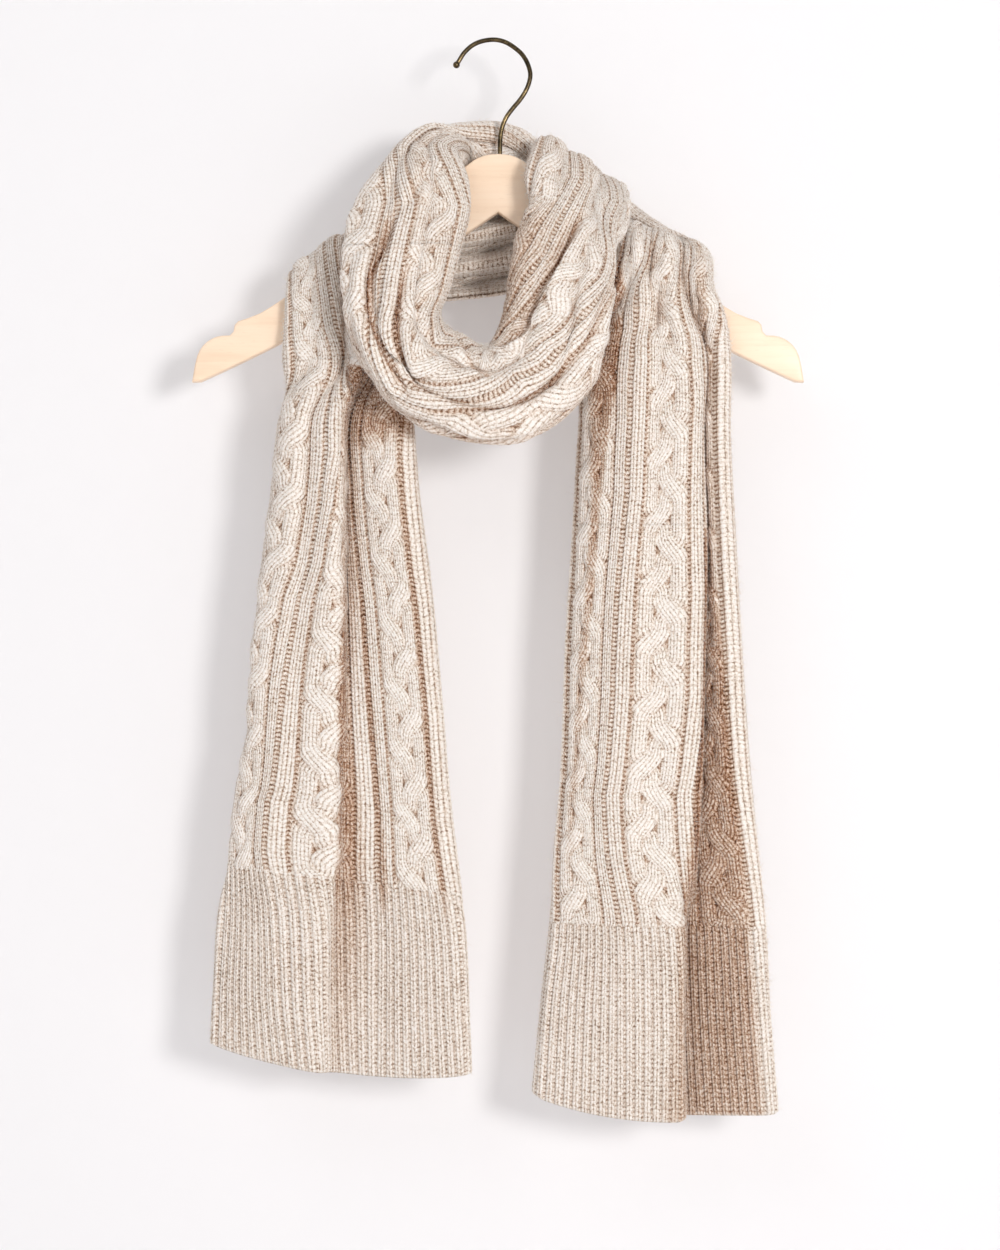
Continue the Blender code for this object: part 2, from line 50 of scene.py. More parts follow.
# ---- the strip, as in the CAD ----------------------------------------------
CLOTH_THICK = 4.4
CLOTH_SQUEEZED = 2.8
WIDTH_SQUEEZED = 84.0
WIDTH_LOOSE = 158.0
FOLDS = {
    "fan_soft": (  # share, depth
        (0.00, 0), (0.08, 8), (0.17, 10), (0.25, 7), (0.33, 3),
        (0.41, 6), (0.50, 8), (0.59, 6), (0.68, 3), (0.76, 5),
        (0.84, 7), (0.92, 5), (1.00, 0),
    ),
    "gather_low": (  # share, depth
        (0.00, 0), (0.08, 13), (0.17, 19), (0.25, 12), (0.33, 3),
        (0.41, 9), (0.50, 12), (0.59, 7), (0.67, 1), (0.75, 5),
        (0.83, 7), (0.92, 4), (1.00, 0),
    ),
    "slab": (  # share, depth
        (0.12, -8), (0.00, -6), (0.00, 1), (0.08, 7), (0.18, 9),
        (0.28, 5), (0.36, 2), (0.50, 9), (0.62, 5), (0.68, 2),
        (0.80, 8), (0.93, 4), (1.00, -2), (0.95, -9),
    ),
    "fan_top": (  # share, depth
        (0.00, 0), (0.08, 12), (0.17, 15), (0.25, 8), (0.33, 1),
        (0.41, 9), (0.50, 14), (0.59, 8), (0.67, 1), (0.75, 8),
        (0.83, 13), (0.92, 9), (1.00, 0),
    ),
    "rib_left": (  # share, depth
        (0.02, -11), (0.00, -4), (0.10, 2), (0.25, 5), (0.39, 8),
        (0.42, 5), (0.47, -7), (0.62, -5), (0.82, 2), (0.97, 1),
        (1.00, -4),
    ),
    "mid_left": (  # share, depth
        (0.08, -16), (0.01, -10), (0.04, 0), (0.17, 5), (0.30, 5),
        (0.42, 9), (0.45, 6), (0.48, -8), (0.59, -5), (0.72, 0),
        (0.86, 3), (0.97, 2), (1.00, -4),
    ),
    "hang_left": (  # share, depth
        (0.16, -20), (0.02, -15), (0.03, -1), (0.14, 6), (0.25, 4),
        (0.34, 7), (0.43, 9), (0.46, 6), (0.49, -9), (0.58, -4),
        (0.71, 1), (0.86, 4), (0.97, 2), (1.00, -4),
    ),
    "over_left": (  # share, depth
        (0.00, 0), (0.04, 5), (0.13, 7), (0.24, 6), (0.34, 8),
        (0.43, 7), (0.50, 2), (0.57, 8), (0.65, 13), (0.72, 8),
        (0.79, 2), (0.86, 7), (0.93, 9), (1.00, 1),
    ),
    "over_right": (  # share, depth
        (0.00, 0), (0.03, 5), (0.12, 8), (0.24, 6), (0.33, 3),
        (0.42, 7), (0.52, 10), (0.62, 7), (0.70, 4), (0.78, 8),
        (0.88, 10), (0.97, 6), (1.00, 1),
    ),
    "gather": (  # share, depth
        (0.00, 0), (0.08, 12), (0.17, 18), (0.25, 10), (0.33, 1),
        (0.41, 11), (0.50, 19), (0.59, 11), (0.67, 1), (0.75, 10),
        (0.83, 17), (0.92, 11), (1.00, 0),
    ),
    "branch": (  # share, depth
        (0.32, -10), (0.15, -11), (0.03, -9), (0.00, 0), (0.07, 8),
        (0.20, 12), (0.30, 9), (0.42, 14), (0.58, 14), (0.69, 9),
        (0.80, 10), (0.94, 4), (1.00, -5), (0.95, -14), (0.80, -16),
        (0.62, -15),
    ),
    "roll": (  # share, depth
        (0.40, -10), (0.20, -11), (0.03, -9), (-0.02, 0), (0.06, 8),
        (0.22, 11), (0.34, 7), (0.50, 9), (0.66, 6), (0.80, 7),
        (0.97, 2), (1.02, -7), (0.95, -15), (0.74, -18), (0.55, -18),
    ),
    "fan_right": (  # share, depth
        (0.00, 0), (0.06, 8), (0.13, 10), (0.20, 5), (0.27, 0),
        (0.34, 6), (0.41, 9), (0.48, 5), (0.54, 1), (0.62, 8),
        (0.70, 10), (0.78, 6), (0.84, 1), (0.92, 6), (1.00, 0),
    ),
    "hang_right": (  # share, depth
        (0.00, -5), (0.03, 2), (0.07, 3), (0.12, -2), (0.14, -8),
        (0.18, -8), (0.21, 4), (0.30, 8), (0.48, 6), (0.62, 9),
        (0.78, 6), (0.92, 1), (1.00, -9), (0.96, -20),
    ),
    "slope_right": (  # share, depth
        (0.00, -5), (0.02, 3), (0.08, 4), (0.14, -2), (0.20, -11),
        (0.24, 4), (0.32, 8), (0.48, 6), (0.62, 9), (0.78, 6),
        (0.92, 1), (1.00, -9), (0.96, -20),
    ),
    "low_right": (  # share, depth
        (0.00, -5), (0.02, 3), (0.09, 4), (0.16, -3), (0.26, -13),
        (0.28, 5), (0.37, 8), (0.50, 6), (0.63, 9), (0.79, 6),
        (0.92, 1), (1.00, -8), (0.97, -19),
    ),
    "mid_right": (  # share, depth
        (0.00, -6), (0.01, 3), (0.07, 4), (0.18, -4), (0.30, -14),
        (0.33, 5), (0.42, 8), (0.54, 7), (0.64, 9), (0.80, 5),
        (0.93, 1), (1.00, -8), (0.98, -18),
    ),
    "rib_right": (  # share, depth
        (0.00, -3), (0.01, 3), (0.05, 4), (0.22, -6), (0.37, -13),
        (0.40, 5), (0.52, 8), (0.72, 7), (0.88, 4), (0.98, 0),
        (1.00, -7),
    ),
}
SECTIONS = (
    # stretch       outer x,  y,    z     inner x,  y,    z      out x, y,  z   fold            cloth
    ("tail_left",   -201,  -20,  -718,    -16,  -22,  -740,     0,   -1,    0,  "rib_left",   204),
    ("tail_left",   -198,  -20,  -678,    -18,  -22,  -699,     0,   -1,    0,  "rib_left",   204),
    ("tail_left",   -193,  -20,  -617,    -21,  -22,  -638,     0,   -1,    0,  "rib_left",   198),
    ("tail_left",   -188,  -20,  -578,    -25,  -22,  -597,     0,   -1,    0,  "mid_left",   184),
    ("tail_left",   -183,  -20,  -535,    -31,  -22,  -551,     0,   -1,    0,  "mid_left",   175),
    ("tail_left",   -174,  -20,  -460,    -38,  -22,  -472,     0,   -1,    0,  "hang_left",  172),
    ("tail_left",   -166,  -20,  -388,    -46,  -22,  -396,     0,   -1,    0,  "hang_left",  172),
    ("tail_left",   -157,  -20,  -318,    -56,  -22,  -323,     0,   -1,    0,  "hang_left",  172),
    ("tail_left",   -151,  -22,  -271,    -60,  -22,  -274,     0,   -1,    0,  "hang_left",  166),
    ("neck_back",   -149,  -15,  -234,    -64,  -18,  -231,     0,   -1,    0,  "over_left",  126),
    ("neck_back",   -148,  -13,  -203,    -66,  -15,  -185,  -0.1,   -1,  0.1,  "over_left",  112),
    ("neck_back",   -147,  -11,  -183,    -66,  -14,  -136,  -0.2,   -1,  0.4,  "over_left",  110),
    ("neck_back",   -144,    0,  -171,    -65,   -4,  -115,  -0.5, -0.2, 0.85,  "over_left",  112),
    ("neck_back",   -128,   11,  -173,    -61,    9,  -115,  -0.4,  0.8, 0.45,  "over_left",  118),
    ("neck_back",    -83,   13,  -186,    -42,   11,  -121,  -0.1,    1,  0.1,  "gather",     130),
    ("neck_back",    -31,   12,  -183,    -16,   10,  -117,     0,    1,    0,  "gather",     130),
    ("neck_back",     15,   12,  -177,      7,   10,  -111,     0,    1,    0,  "gather",     126),
    ("loop",          52,   12,  -164,     23,   10,   -99,   0.2,    1,  0.1,  "gather_low", 116),
    ("loop",          77,   12,  -145,     28,   10,   -89,  0.35,  0.9,  0.3,  "gather_low", 102),
    ("loop",          87,    9,  -129,     28,    8,   -80,   0.4,  0.5,  0.7,  "over_right", 98),
    ("loop",          91,   -1,  -117,     29,   -2,   -78,  0.35, -0.1,  0.9,  "over_right", 98),
    ("loop",          92,  -12,  -124,     26,  -11,   -88,   0.3, -0.6,  0.7,  "over_right", 106),
    ("loop",          90,  -22,  -142,     24,  -18,  -106,   0.1,   -1,  0.3,  "over_right", 122),
    ("loop",          83,  -42,  -168,     22,  -36,  -137,  0.05,   -1,  0.1,  "branch",     144),
    ("loop",          78,  -56,  -200,     14,  -48,  -169,     0,   -1,    0,  "branch",     158),
    ("loop",          73,  -60,  -231,      9,  -54,  -202,     0,   -1,    0,  "branch",     160),
    ("loop",          61,  -62,  -258,      2,  -58,  -221,     0,   -1,    0,  "branch",     160),
    ("loop",          40,  -62,  -278,     -3,  -60,  -227,     0,   -1,    0,  "branch",     160),
    ("loop",          14,  -62,  -288,     -8,  -60,  -227,     0,   -1,    0,  "branch",     160),
    ("loop",         -14,  -62,  -288,    -12,  -60,  -226,     0,   -1,    0,  "branch",     160),
    ("loop",         -39,  -62,  -282,    -19,  -60,  -222,     0,   -1,    0,  "branch",     160),
    ("loop",         -63,  -62,  -269,    -27,  -60,  -218,     0,   -1,    0,  "branch",     160),
    ("loop",         -82,  -62,  -247,    -36,  -59,  -212,     0,   -1,    0,  "branch",     160),
    ("loop",         -96,  -62,  -221,    -40,  -59,  -201,     0,   -1,    0,  "branch",     160),
    ("loop",        -103,  -60,  -190,    -34,  -57,  -184,     0,   -1,    0,  "branch",     160),
    ("neck_top",    -103,  -54,  -157,    -26,  -52,  -154,  -0.1,   -1, -0.05,  "branch",     158),
    ("neck_top",     -97,  -42,  -127,    -20,  -44,  -125,  -0.2,   -1,  0.2,  "branch",     152),
    ("neck_top",     -87,  -30,  -103,    -22,  -40,  -102,  -0.3,   -1, 0.35,  "branch",     138),
    ("neck_top",     -69,  -12,   -83,    -30,  -26,   -82,  -0.2,   -1,  0.5,  "roll",       116),
    ("neck_top",     -51,    6,   -68,    -20,    2,   -76,  -0.1,   -1,  0.8,  "roll",       110),
    ("neck_top",     -31,   18,   -60,    -10,   20,   -88,     0,   -1,  0.4,  "roll",       112),
    ("neck_top",       1,   22,   -57,      4,   24,   -98,     0,   -1, 0.12,  "roll",       116),
    ("neck_top",      40,   45,   -69,     26,   45,  -116,   0.1,   -1,  0.1,  "slab",       108),
    ("tail_right",    78,   50,   -86,     61,   50,  -133,   0.2,   -1,  0.2,  "fan_top",    92),
    ("tail_right",   113,   34,  -113,     88,   42,  -141,   0.3,   -1, 0.25,  "fan_soft",   60),
    ("tail_right",   140,   11,  -135,     99,   20,  -139,   0.4, -0.8,  0.4,  "fan_soft",   53),
    ("tail_right",   155,   -4,  -154,     93,   -7,  -133,   0.3, -0.9, 0.35,  "fan_soft",   74),
    ("tail_right",   156,  -10,  -179,     89,  -16,  -158,   0.2,   -1,  0.2,  "fan_top",    102),
    ("tail_right",   163,  -13,  -197,     79,  -15,  -185,   0.1,   -1,  0.1,  "fan_right",  128),
    ("tail_right",   167,  -17,  -226,     69,  -16,  -221,     0,   -1,    0,  "hang_right", 166),
    ("tail_right",   167,  -18,  -281,     64,  -18,  -278,     0,   -1,    0,  "hang_right", 172),
    ("tail_right",   171,  -18,  -360,     59,  -18,  -360,     0,   -1,    0,  "hang_right", 172),
    ("tail_right",   175,  -18,  -438,     54,  -18,  -438,     0,   -1,    0,  "slope_right", 172),
    ("tail_right",   181,  -18,  -524,     51,  -18,  -523,     0,   -1,    0,  "low_right",  172),
    ("tail_right",   187,  -18,  -588,     46,  -18,  -586,     0,   -1,    0,  "mid_right",  174),
    ("tail_right",   192,  -18,  -639,     42,  -18,  -635,     0,   -1,    0,  "rib_right",  188),
    ("tail_right",   195,  -18,  -696,     36,  -18,  -689,     0,   -1,    0,  "rib_right",  202),
    ("tail_right",   201,  -18,  -769,     29,  -18,  -755,     0,   -1,    0,  "rib_right",  204),
)

# ---- the knit --------------------------------------------------------------
ROW = 3.2                  # mm, height of a stitch
RIBBING = 137.0            # mm, ribbed band at each end
# The cable part across, from the outer side to the inner side.
# width: share of the cloth in 228ths, wales: stitches across, columns: facets
WALES = (
    # kind,    width, wales, columns
    ("knit",   12.0, 2, 10),
    ("purl",    3.0, 1, 3),
    ("plait",  44.0, 9, 45),
    ("purl",    2.0, 1, 2),
    ("knit",   12.25, 2, 10),
    ("purl",    4.5, 2, 7),
    ("knit",   12.25, 2, 10),
    ("purl",    2.0, 1, 2),
    ("plait",  44.0, 9, 46),
    ("purl",    2.0, 1, 2),
    ("knit",   12.25, 2, 10),
    ("purl",    4.5, 2, 7),
    ("knit",   12.25, 2, 10),
    ("purl",    2.0, 1, 2),
    ("plait",  44.0, 9, 45),
    ("purl",    3.0, 1, 3),
    ("knit",   12.0, 2, 10),
)
RIBS = 32                  # ribs across the ribbed ends
RIB_COLUMNS = 7
KNIT_LEG = 0.60            # mm, how far a stitch's legs stand over its middle
KNIT_RISE = 0.60           # mm, knit columns over the ground
PURL_DROP = 0.85           # mm, purl columns under the ground
PURL_BAR = 0.32            # mm, height of the bars in purl
PLAIT_STEP = 22.0          # mm along the strip from one crossing to the next
PLAIT_BODY = 1.9           # mm, roundness of a strand
PLAIT_LIFT = 0.9           # mm, how far the upper strand lies over the lower

# Creases pressed into the hanging cloth, each a line of (share, section)
# points: share is the place across the strip (0 outer side, 1 inner side) and
# section the place along it, counted in rows of the table above.
# drop: mm pressed in; lip: mm the cloth beside it stands up; side: 0 both
# sides, 1 or -1 only the side of larger or smaller share drops; dark: painted shade along the crease
CREASES = (
    # drop, lip, width, side, dark, line
    # left branch of the loop: two valleys, and a short one above them
    (6.0, 1.6, 4.0, 0, 1.60, ((0.41, 35.9), (0.39, 34.9), (0.355, 34.3), (0.345, 33.6), (0.355, 32.9), (0.34, 32.0), (0.31, 30.9))),
    (5.0, 1.4, 3.6, 0, 1.50, ((0.53, 34.7), (0.51, 34.0), (0.485, 33.0), (0.45, 32.3), (0.41, 31.6), (0.36, 30.8))),
    (3.0, 1.0, 3.2, 0, 0.35, ((0.56, 37.4), (0.53, 36.8), (0.50, 36.3), (0.47, 35.7))),
    (3.0, 1.2, 4.0, 0, 0.30, ((0.16, 36.6), (0.17, 35.4), (0.18, 34.2), (0.17, 33.0))),
    # where the right branch dives behind the lower lobe
    (8.0, 2.5, 9.0, 1, 0.75, ((0.40, 22.2), (0.47, 23.2), (0.52, 24.2), (0.58, 25.0), (0.63, 25.8), (0.66, 26.5), (0.72, 27.2))),
    (3.5, 1.5, 4.0, 0, 0.35, ((0.20, 23.0), (0.26, 24.2), (0.33, 25.4), (0.38, 26.6), (0.40, 27.8))),
    # folds of the lower lobe
    (2.5, 1.2, 4.0, 0, 0.50, ((0.74, 31.2), (0.70, 30.6), (0.66, 29.9), (0.58, 28.9), (0.54, 28.0))),
    (3.0, 1.2, 3.6, 0, 0.30, ((0.24, 30.6), (0.22, 29.4), (0.20, 28.2), (0.22, 27.0))),
)
# Painted shade on faces of folds turned from the light, in gaps and in grooves: dark between two places across, by
# section.
SHADED = (
    # section, from, to, dark, softness of its two edges
    # painted shade on the left tail's right panel, beside the fold's lip
    (0.0, 0.46, 0.57, 0.00, 0.02, 0.10),
    (1.5, 0.465, 0.59, 0.25, 0.02, 0.10),
    (3.0, 0.485, 0.60, 0.90, 0.02, 0.08),
    (4.0, 0.50, 0.60, 1.10, 0.02, 0.06),
    (5.0, 0.515, 0.585, 1.20, 0.02, 0.05),
    (5.6, 0.52, 0.57, 1.05, 0.02, 0.05),
    (6.2, 0.515, 0.555, 0.45, 0.02, 0.05),
    (7.1, 0.51, 0.55, 0.35, 0.02, 0.06),
    (7.5, 0.51, 0.70, 0.50, 0.02, 0.25),
    (7.9, 0.51, 1.00, 1.00, 0.02, 0.25),
    (8.9, 0.50, 1.10, 1.35, 0.02, 0.10),
    # the pass behind, in the shadow of the loop and the hanger
    (0.0, -0.10, 1.10, 0.00, 0.02, 0.02),
    (12.5, -0.10, 1.10, 0.00, 0.02, 0.02),
    (14.0, -0.10, 1.10, 0.15, 0.02, 0.02),
    (16.5, -0.10, 1.10, 0.18, 0.02, 0.02),
    (18.0, -0.10, 1.10, 0.20, 0.02, 0.02),
    # painted shade on the right branch's inner part
    (22.3, 0.58, 1.05, 0.00, 0.14, 0.02),
    (23.0, 0.60, 1.05, 0.40, 0.14, 0.02),
    (24.4, 0.66, 1.05, 0.65, 0.12, 0.02),
    (26.0, 0.74, 1.05, 0.75, 0.08, 0.02),
    (27.0, 0.80, 1.05, 0.00, 0.08, 0.02),
    # painted shade on the right tail's slope, between its edge strip and the lip
    (46.6, 0.155, 0.20, 0.20, 0.02, 0.012),
    (48.4, 0.15, 0.205, 0.70, 0.02, 0.012),
    (49.6, 0.145, 0.235, 0.90, 0.02, 0.012),
    (51.2, 0.130, 0.320, 1.05, 0.02, 0.012),
    (52.2, 0.110, 0.335, 1.15, 0.02, 0.012),
    (53.3, 0.096, 0.380, 1.10, 0.02, 0.016),
    (54.3, 0.092, 0.416, 1.00, 0.02, 0.03),
    (55.1, 0.089, 0.478, 0.75, 0.02, 0.06),
    (57.0, 0.072, 0.490, 0.55, 0.02, 0.10),
    # painted shade on the right tail's inner edge, in the gap beside the loop, and on the groove below it
    (45.8, 0.94, 1.10, 0.00, 0.02, 0.02),
    (46.9, 0.93, 1.10, 1.10, 0.02, 0.02),
    (47.6, 0.91, 1.10, 1.40, 0.02, 0.02),
    (48.1, 0.85, 1.10, 1.40, 0.03, 0.02),
    (48.5, 0.74, 1.10, 1.40, 0.03, 0.02),
    (49.05, 0.695, 1.10, 1.40, 0.03, 0.05),
    (49.45, 0.69, 0.82, 1.30, 0.03, 0.05),
    (49.7, 0.71, 0.80, 1.10, 0.02, 0.04),
    (50.05, 0.725, 0.80, 0.90, 0.02, 0.03),
    (50.6, 0.75, 0.785, 0.75, 0.02, 0.02),
    (51.5, 0.78, 0.81, 0.60, 0.015, 0.015),
    (52.4, 0.83, 0.855, 0.50, 0.015, 0.015),
    (53.3, 0.865, 0.89, 0.40, 0.015, 0.015),
    (54.5, 0.88, 0.90, 0.00, 0.015, 0.015),
    # painted shade in the left tail's two inner grooves
    (2.0, 0.680, 0.710, 0.00, 0.015, 0.015),
    (2.6, 0.680, 0.710, 0.60, 0.015, 0.015),
    (5.0, 0.680, 0.706, 0.70, 0.015, 0.015),
    (6.8, 0.680, 0.704, 0.45, 0.015, 0.015),
    (7.6, 0.680, 0.704, 0.00, 0.015, 0.015),
    (2.0, 0.910, 0.935, 0.00, 0.012, 0.012),
    (3.0, 0.908, 0.932, 0.45, 0.012, 0.012),
    (5.0, 0.908, 0.932, 0.50, 0.012, 0.012),
    (6.8, 0.890, 0.914, 0.35, 0.012, 0.012),
    (7.6, 0.890, 0.914, 0.00, 0.012, 0.012),
)
# Where the knit is pulled to one side: section, and how far its middle moves.
PULLED = (
    # section, shift
    (0.0, 0.0),
    (12.0, 0.0),
    (19.0, 0.0),
    (21.5, -0.20),
    (23.5, -0.10),
    (25.5, 0.12),
    (27.0, 0.20),
    (29.5, 0.10),
    (31.5, 0.0),
    (33.5, 0.10),
    (36.0, 0.12),
    (38.0, 0.0),
    (57.0, 0.0),
)
# Where the knit is spread or gathered: how far four of its grooves move across,
# the outer edge's, the outer one between the plaits, the inner one, the inner edge's.
GROOVE_SHARES = (0.0, 0.059, 0.331, 0.669, 0.941, 1.0)
GROOVES = (
    # section, moves
    (0.0, 0.00, -0.03, 0.00, 0.00),
    (1.5, 0.00, -0.08, 0.01, -0.01),
    (3.0, 0.00, -0.13, 0.011, -0.02),
    (3.8, 0.00, -0.13, 0.026, -0.03),
    (4.8, 0.00, -0.055, 0.024, -0.02),
    (5.85, 0.03, 0.01, 0.027, -0.03),
    (6.2, 0.05, 0.058, 0.020, -0.04),
    (6.8, 0.07, 0.10, 0.020, -0.04),
    (7.5, 0.08, 0.12, 0.020, -0.04),
    (8.2, 0.07, 0.11, 0.020, -0.02),
    (8.9, 0.05, 0.06, 0.010, 0.00),
    (9.6, 0.02, 0.015, 0.00, 0.00),
    (11.0, 0.00, 0.00, 0.00, 0.00),
    (45.5, 0.00, 0.00, 0.00, 0.00),
    (46.6, 0.00, 0.00, 0.07, 0.00),
    (47.3, 0.01, 0.00, 0.10, 0.00),
    (48.1, 0.03, 0.00, 0.05, -0.02),
    (48.7, 0.05, 0.00, -0.01, -0.06),
    (49.2, 0.05, 0.01, -0.035, -0.06),
    (49.7, 0.05, -0.01, -0.032, -0.07),
    (50.6, 0.05, -0.01, -0.026, -0.07),
    (51.5, 0.05, -0.026, 0.015, -0.06),
    (52.4, 0.05, -0.01, 0.042, -0.04),
    (53.3, 0.04, 0.05, 0.085, -0.02),
    (54.5, 0.02, 0.03, 0.05, 0.00),
    (57.0, 0.00, 0.00, 0.00, 0.00),
)
# Stretches where the cloth is packed so tightly that its folds flatten.
EASED = (
    # section, share of the fold that is smoothed away
    (16.0, 0.0),
    (17.5, 0.55),
    (19.0, 0.85),
    (22.0, 0.85),
    (23.2, 0.35),
    (24.5, 0.0),
)


# Edges of the strip moved a little: from section to section, how much of the
# width follows (from the outer side, or from the inner side where negative).
NUDGED = (
    # from, to, width, (x, y, z) mm
    (20.6, 24.6, 0.22, (1.0, 0.0, 0.0)),
    (41.2, 46.2, 0.45, (-2.0, 0.0, -7.5)),
)


# The ribbed ends hang lower in their middle than at their corners.
HEM_SAG = (
    # section, mm, lean towards the inner side
    (0, 12.5, 1.0),
    (1, 8.0, 1.0),
    (-1, 12.5, 1.35),
    (-2, 8.0, 1.35),
)
# Where the outer side slumps under its own weight.
SLUMP = (
    # section, mm
    (36, 2.0),
    (37, 5.5),
    (38, 4.0),
    (39, 1.5),
    (45, 5.0),
    (46, 3.0),
)


def smooth_curve(keys, values, at):
    """A smooth curve through `values`, placed at `keys`, read at `at`."""
    keys, values, at = (np.asarray(part, float) for part in (keys, values, at))
    shape = (-1,) + (1,) * (values.ndim - 1)
    gaps = np.diff(keys)
    slopes = (values[1:] - values[:-1]) / gaps.reshape(shape)
    turn = np.empty_like(values)
    turn[0], turn[-1] = slopes[0], slopes[-1]
    for k in range(1, len(keys) - 1):
        both = gaps[k - 1] + gaps[k]
        turn[k] = (slopes[k - 1] * gaps[k] + slopes[k] * gaps[k - 1]) / both
    k = np.clip(np.searchsorted(keys, at, side="right") - 1, 0, len(keys) - 2)
    gap = gaps[k].reshape(shape)
    t = (at.reshape(shape) - keys[k].reshape(shape)) / gap
    return ((2 * t**3 - 3 * t**2 + 1) * values[k]
            + (t**3 - 2 * t**2 + t) * gap * turn[k]
            + (3 * t**2 - 2 * t**3) * values[k + 1]
            + (t**3 - t**2) * gap * turn[k + 1])


def run_length(points):
    steps = np.linalg.norm(np.diff(points, axis=0), axis=-1)
    return np.concatenate([[0.0], np.cumsum(steps)])


def fold_curve(fold, chord, gain, count=240):
    points = np.array([(share * chord, depth * gain) for share, depth in fold])
    steps = np.linalg.norm(np.diff(points, axis=0), axis=1) ** 0.5
    keys = np.concatenate([[0.0], np.cumsum(steps)])
    return smooth_curve(keys, points, np.linspace(0.0, keys[-1], count))


def section(row, count):
    outer, inner, out = (np.array(row[k:k + 3], float) for k in (1, 4, 7))
    across = inner - outer
    chord = np.linalg.norm(across)
    across /= chord
    out = out - across * out.dot(across)
    out /= np.linalg.norm(out)
    low, high = 0.05, 6.0
    for _ in range(40):
        gain = (low + high) / 2
        curve = fold_curve(FOLDS[row[10]], chord, gain)
        if run_length(curve)[-1] < row[11]:
            low = gain
        else:
            high = gain
    length = run_length(curve)
    even = np.linspace(0.0, length[-1], count)
    along = np.interp(even, length, curve[:, 0])
    depth = np.interp(even, length, curve[:, 1])
    return outer + np.outer(along, across) + np.outer(depth, out)


def strip(count):
    rings = np.array([section(row, count) for row in SECTIONS])
    place = np.linspace(0.0, 1.0, count)
    for k, sag, lean in HEM_SAG:
        rings[k, :, 2] -= sag * np.sin(math.pi * place ** lean) ** 0.75
    for k, drop in SLUMP:
        rings[k, :, 2] -= drop * (1.0 - place)
    steps = np.linalg.norm(np.diff(rings, axis=0), axis=2).mean(axis=1)
    reach = np.concatenate([[0.0], np.cumsum(steps)])
    spans = {}
    for k, row in enumerate(SECTIONS):
        start = spans.setdefault(row[0], [reach[k], reach[k]])
        start[1] = reach[min(k + 1, len(SECTIONS) - 1)]
    return rings, reach, spans


# ---- the stitch chart ------------------------------------------------------
def cable_columns():
    """For each column line of the cable part: its share of the cloth and its stitch."""
    share, kind, place = [0.0], [], []
    total = sum(row[1] for row in WALES)
    at = 0.0
    for name, width, wales, columns in WALES:
        for k in range(columns):
            kind.append((name, wales, columns, k))
            share.append((at + width * (k + 1) / columns) / total)
        at += width
    return np.array(share), kind


COLS = RIBS * RIB_COLUMNS
CABLE_SHARE, CABLE_KIND = cable_columns()
assert len(CABLE_KIND) == COLS
RIB_SHARE = np.concatenate([[0.0], np.cumsum(np.tile([0.10, 0.19, 0.19, 0.19, 0.19, 0.07, 0.07], RIBS)) / RIBS])


def strands(v, phase):
    """Middle, lean, half width and lift of a plait's three strands, at v mm along the strip.

    A strand goes from the middle over to one side, waits there while the other
    two cross, comes back under, and goes over to the other side.
    """
    s = (v / PLAIT_STEP + phase + 2.0 * np.arange(3)[:, None]) % 6.0
    part = np.floor(s).astype(int)
    t = s - part
    ease = t * t * (3 - 2 * t)
    quick = 6 * t * (1 - t) / PLAIT_STEP
    side = np.where(part < 3, 1.0, -1.0)
    step = part % 3
    middle = side * np.choose(step, [ease, np.ones(s.shape), 1 - ease])
    lean = side * np.choose(step, [quick, np.zeros(s.shape), -quick])
    cross = np.sin(math.pi * t)
    half = 0.55 + np.choose(step, [0.30, 0.0, 0.22]) * cross
    lift = np.choose(step, [cross, -0.25 * cross, -cross])
    return middle, lean, half, lift


def plait(x, v, phase):
    """Height (mm) of a plait at x (-1.5 to 1.5 strands) and v, and the strand on top."""
    middle, lean, half, lift = (part[:, :, None] for part in strands(v, phase))
    d = (x[None, None, :] - middle) / half
    body = PLAIT_BODY * np.clip(1 - d * d, 0, 1) ** 0.6 + PLAIT_LIFT * lift - 0.45
    body = np.where(np.abs(d) < 1, body, -9.0)
    top = body.argmax(axis=0)
    height = np.maximum(body.max(axis=0), -0.85)
    return height, top


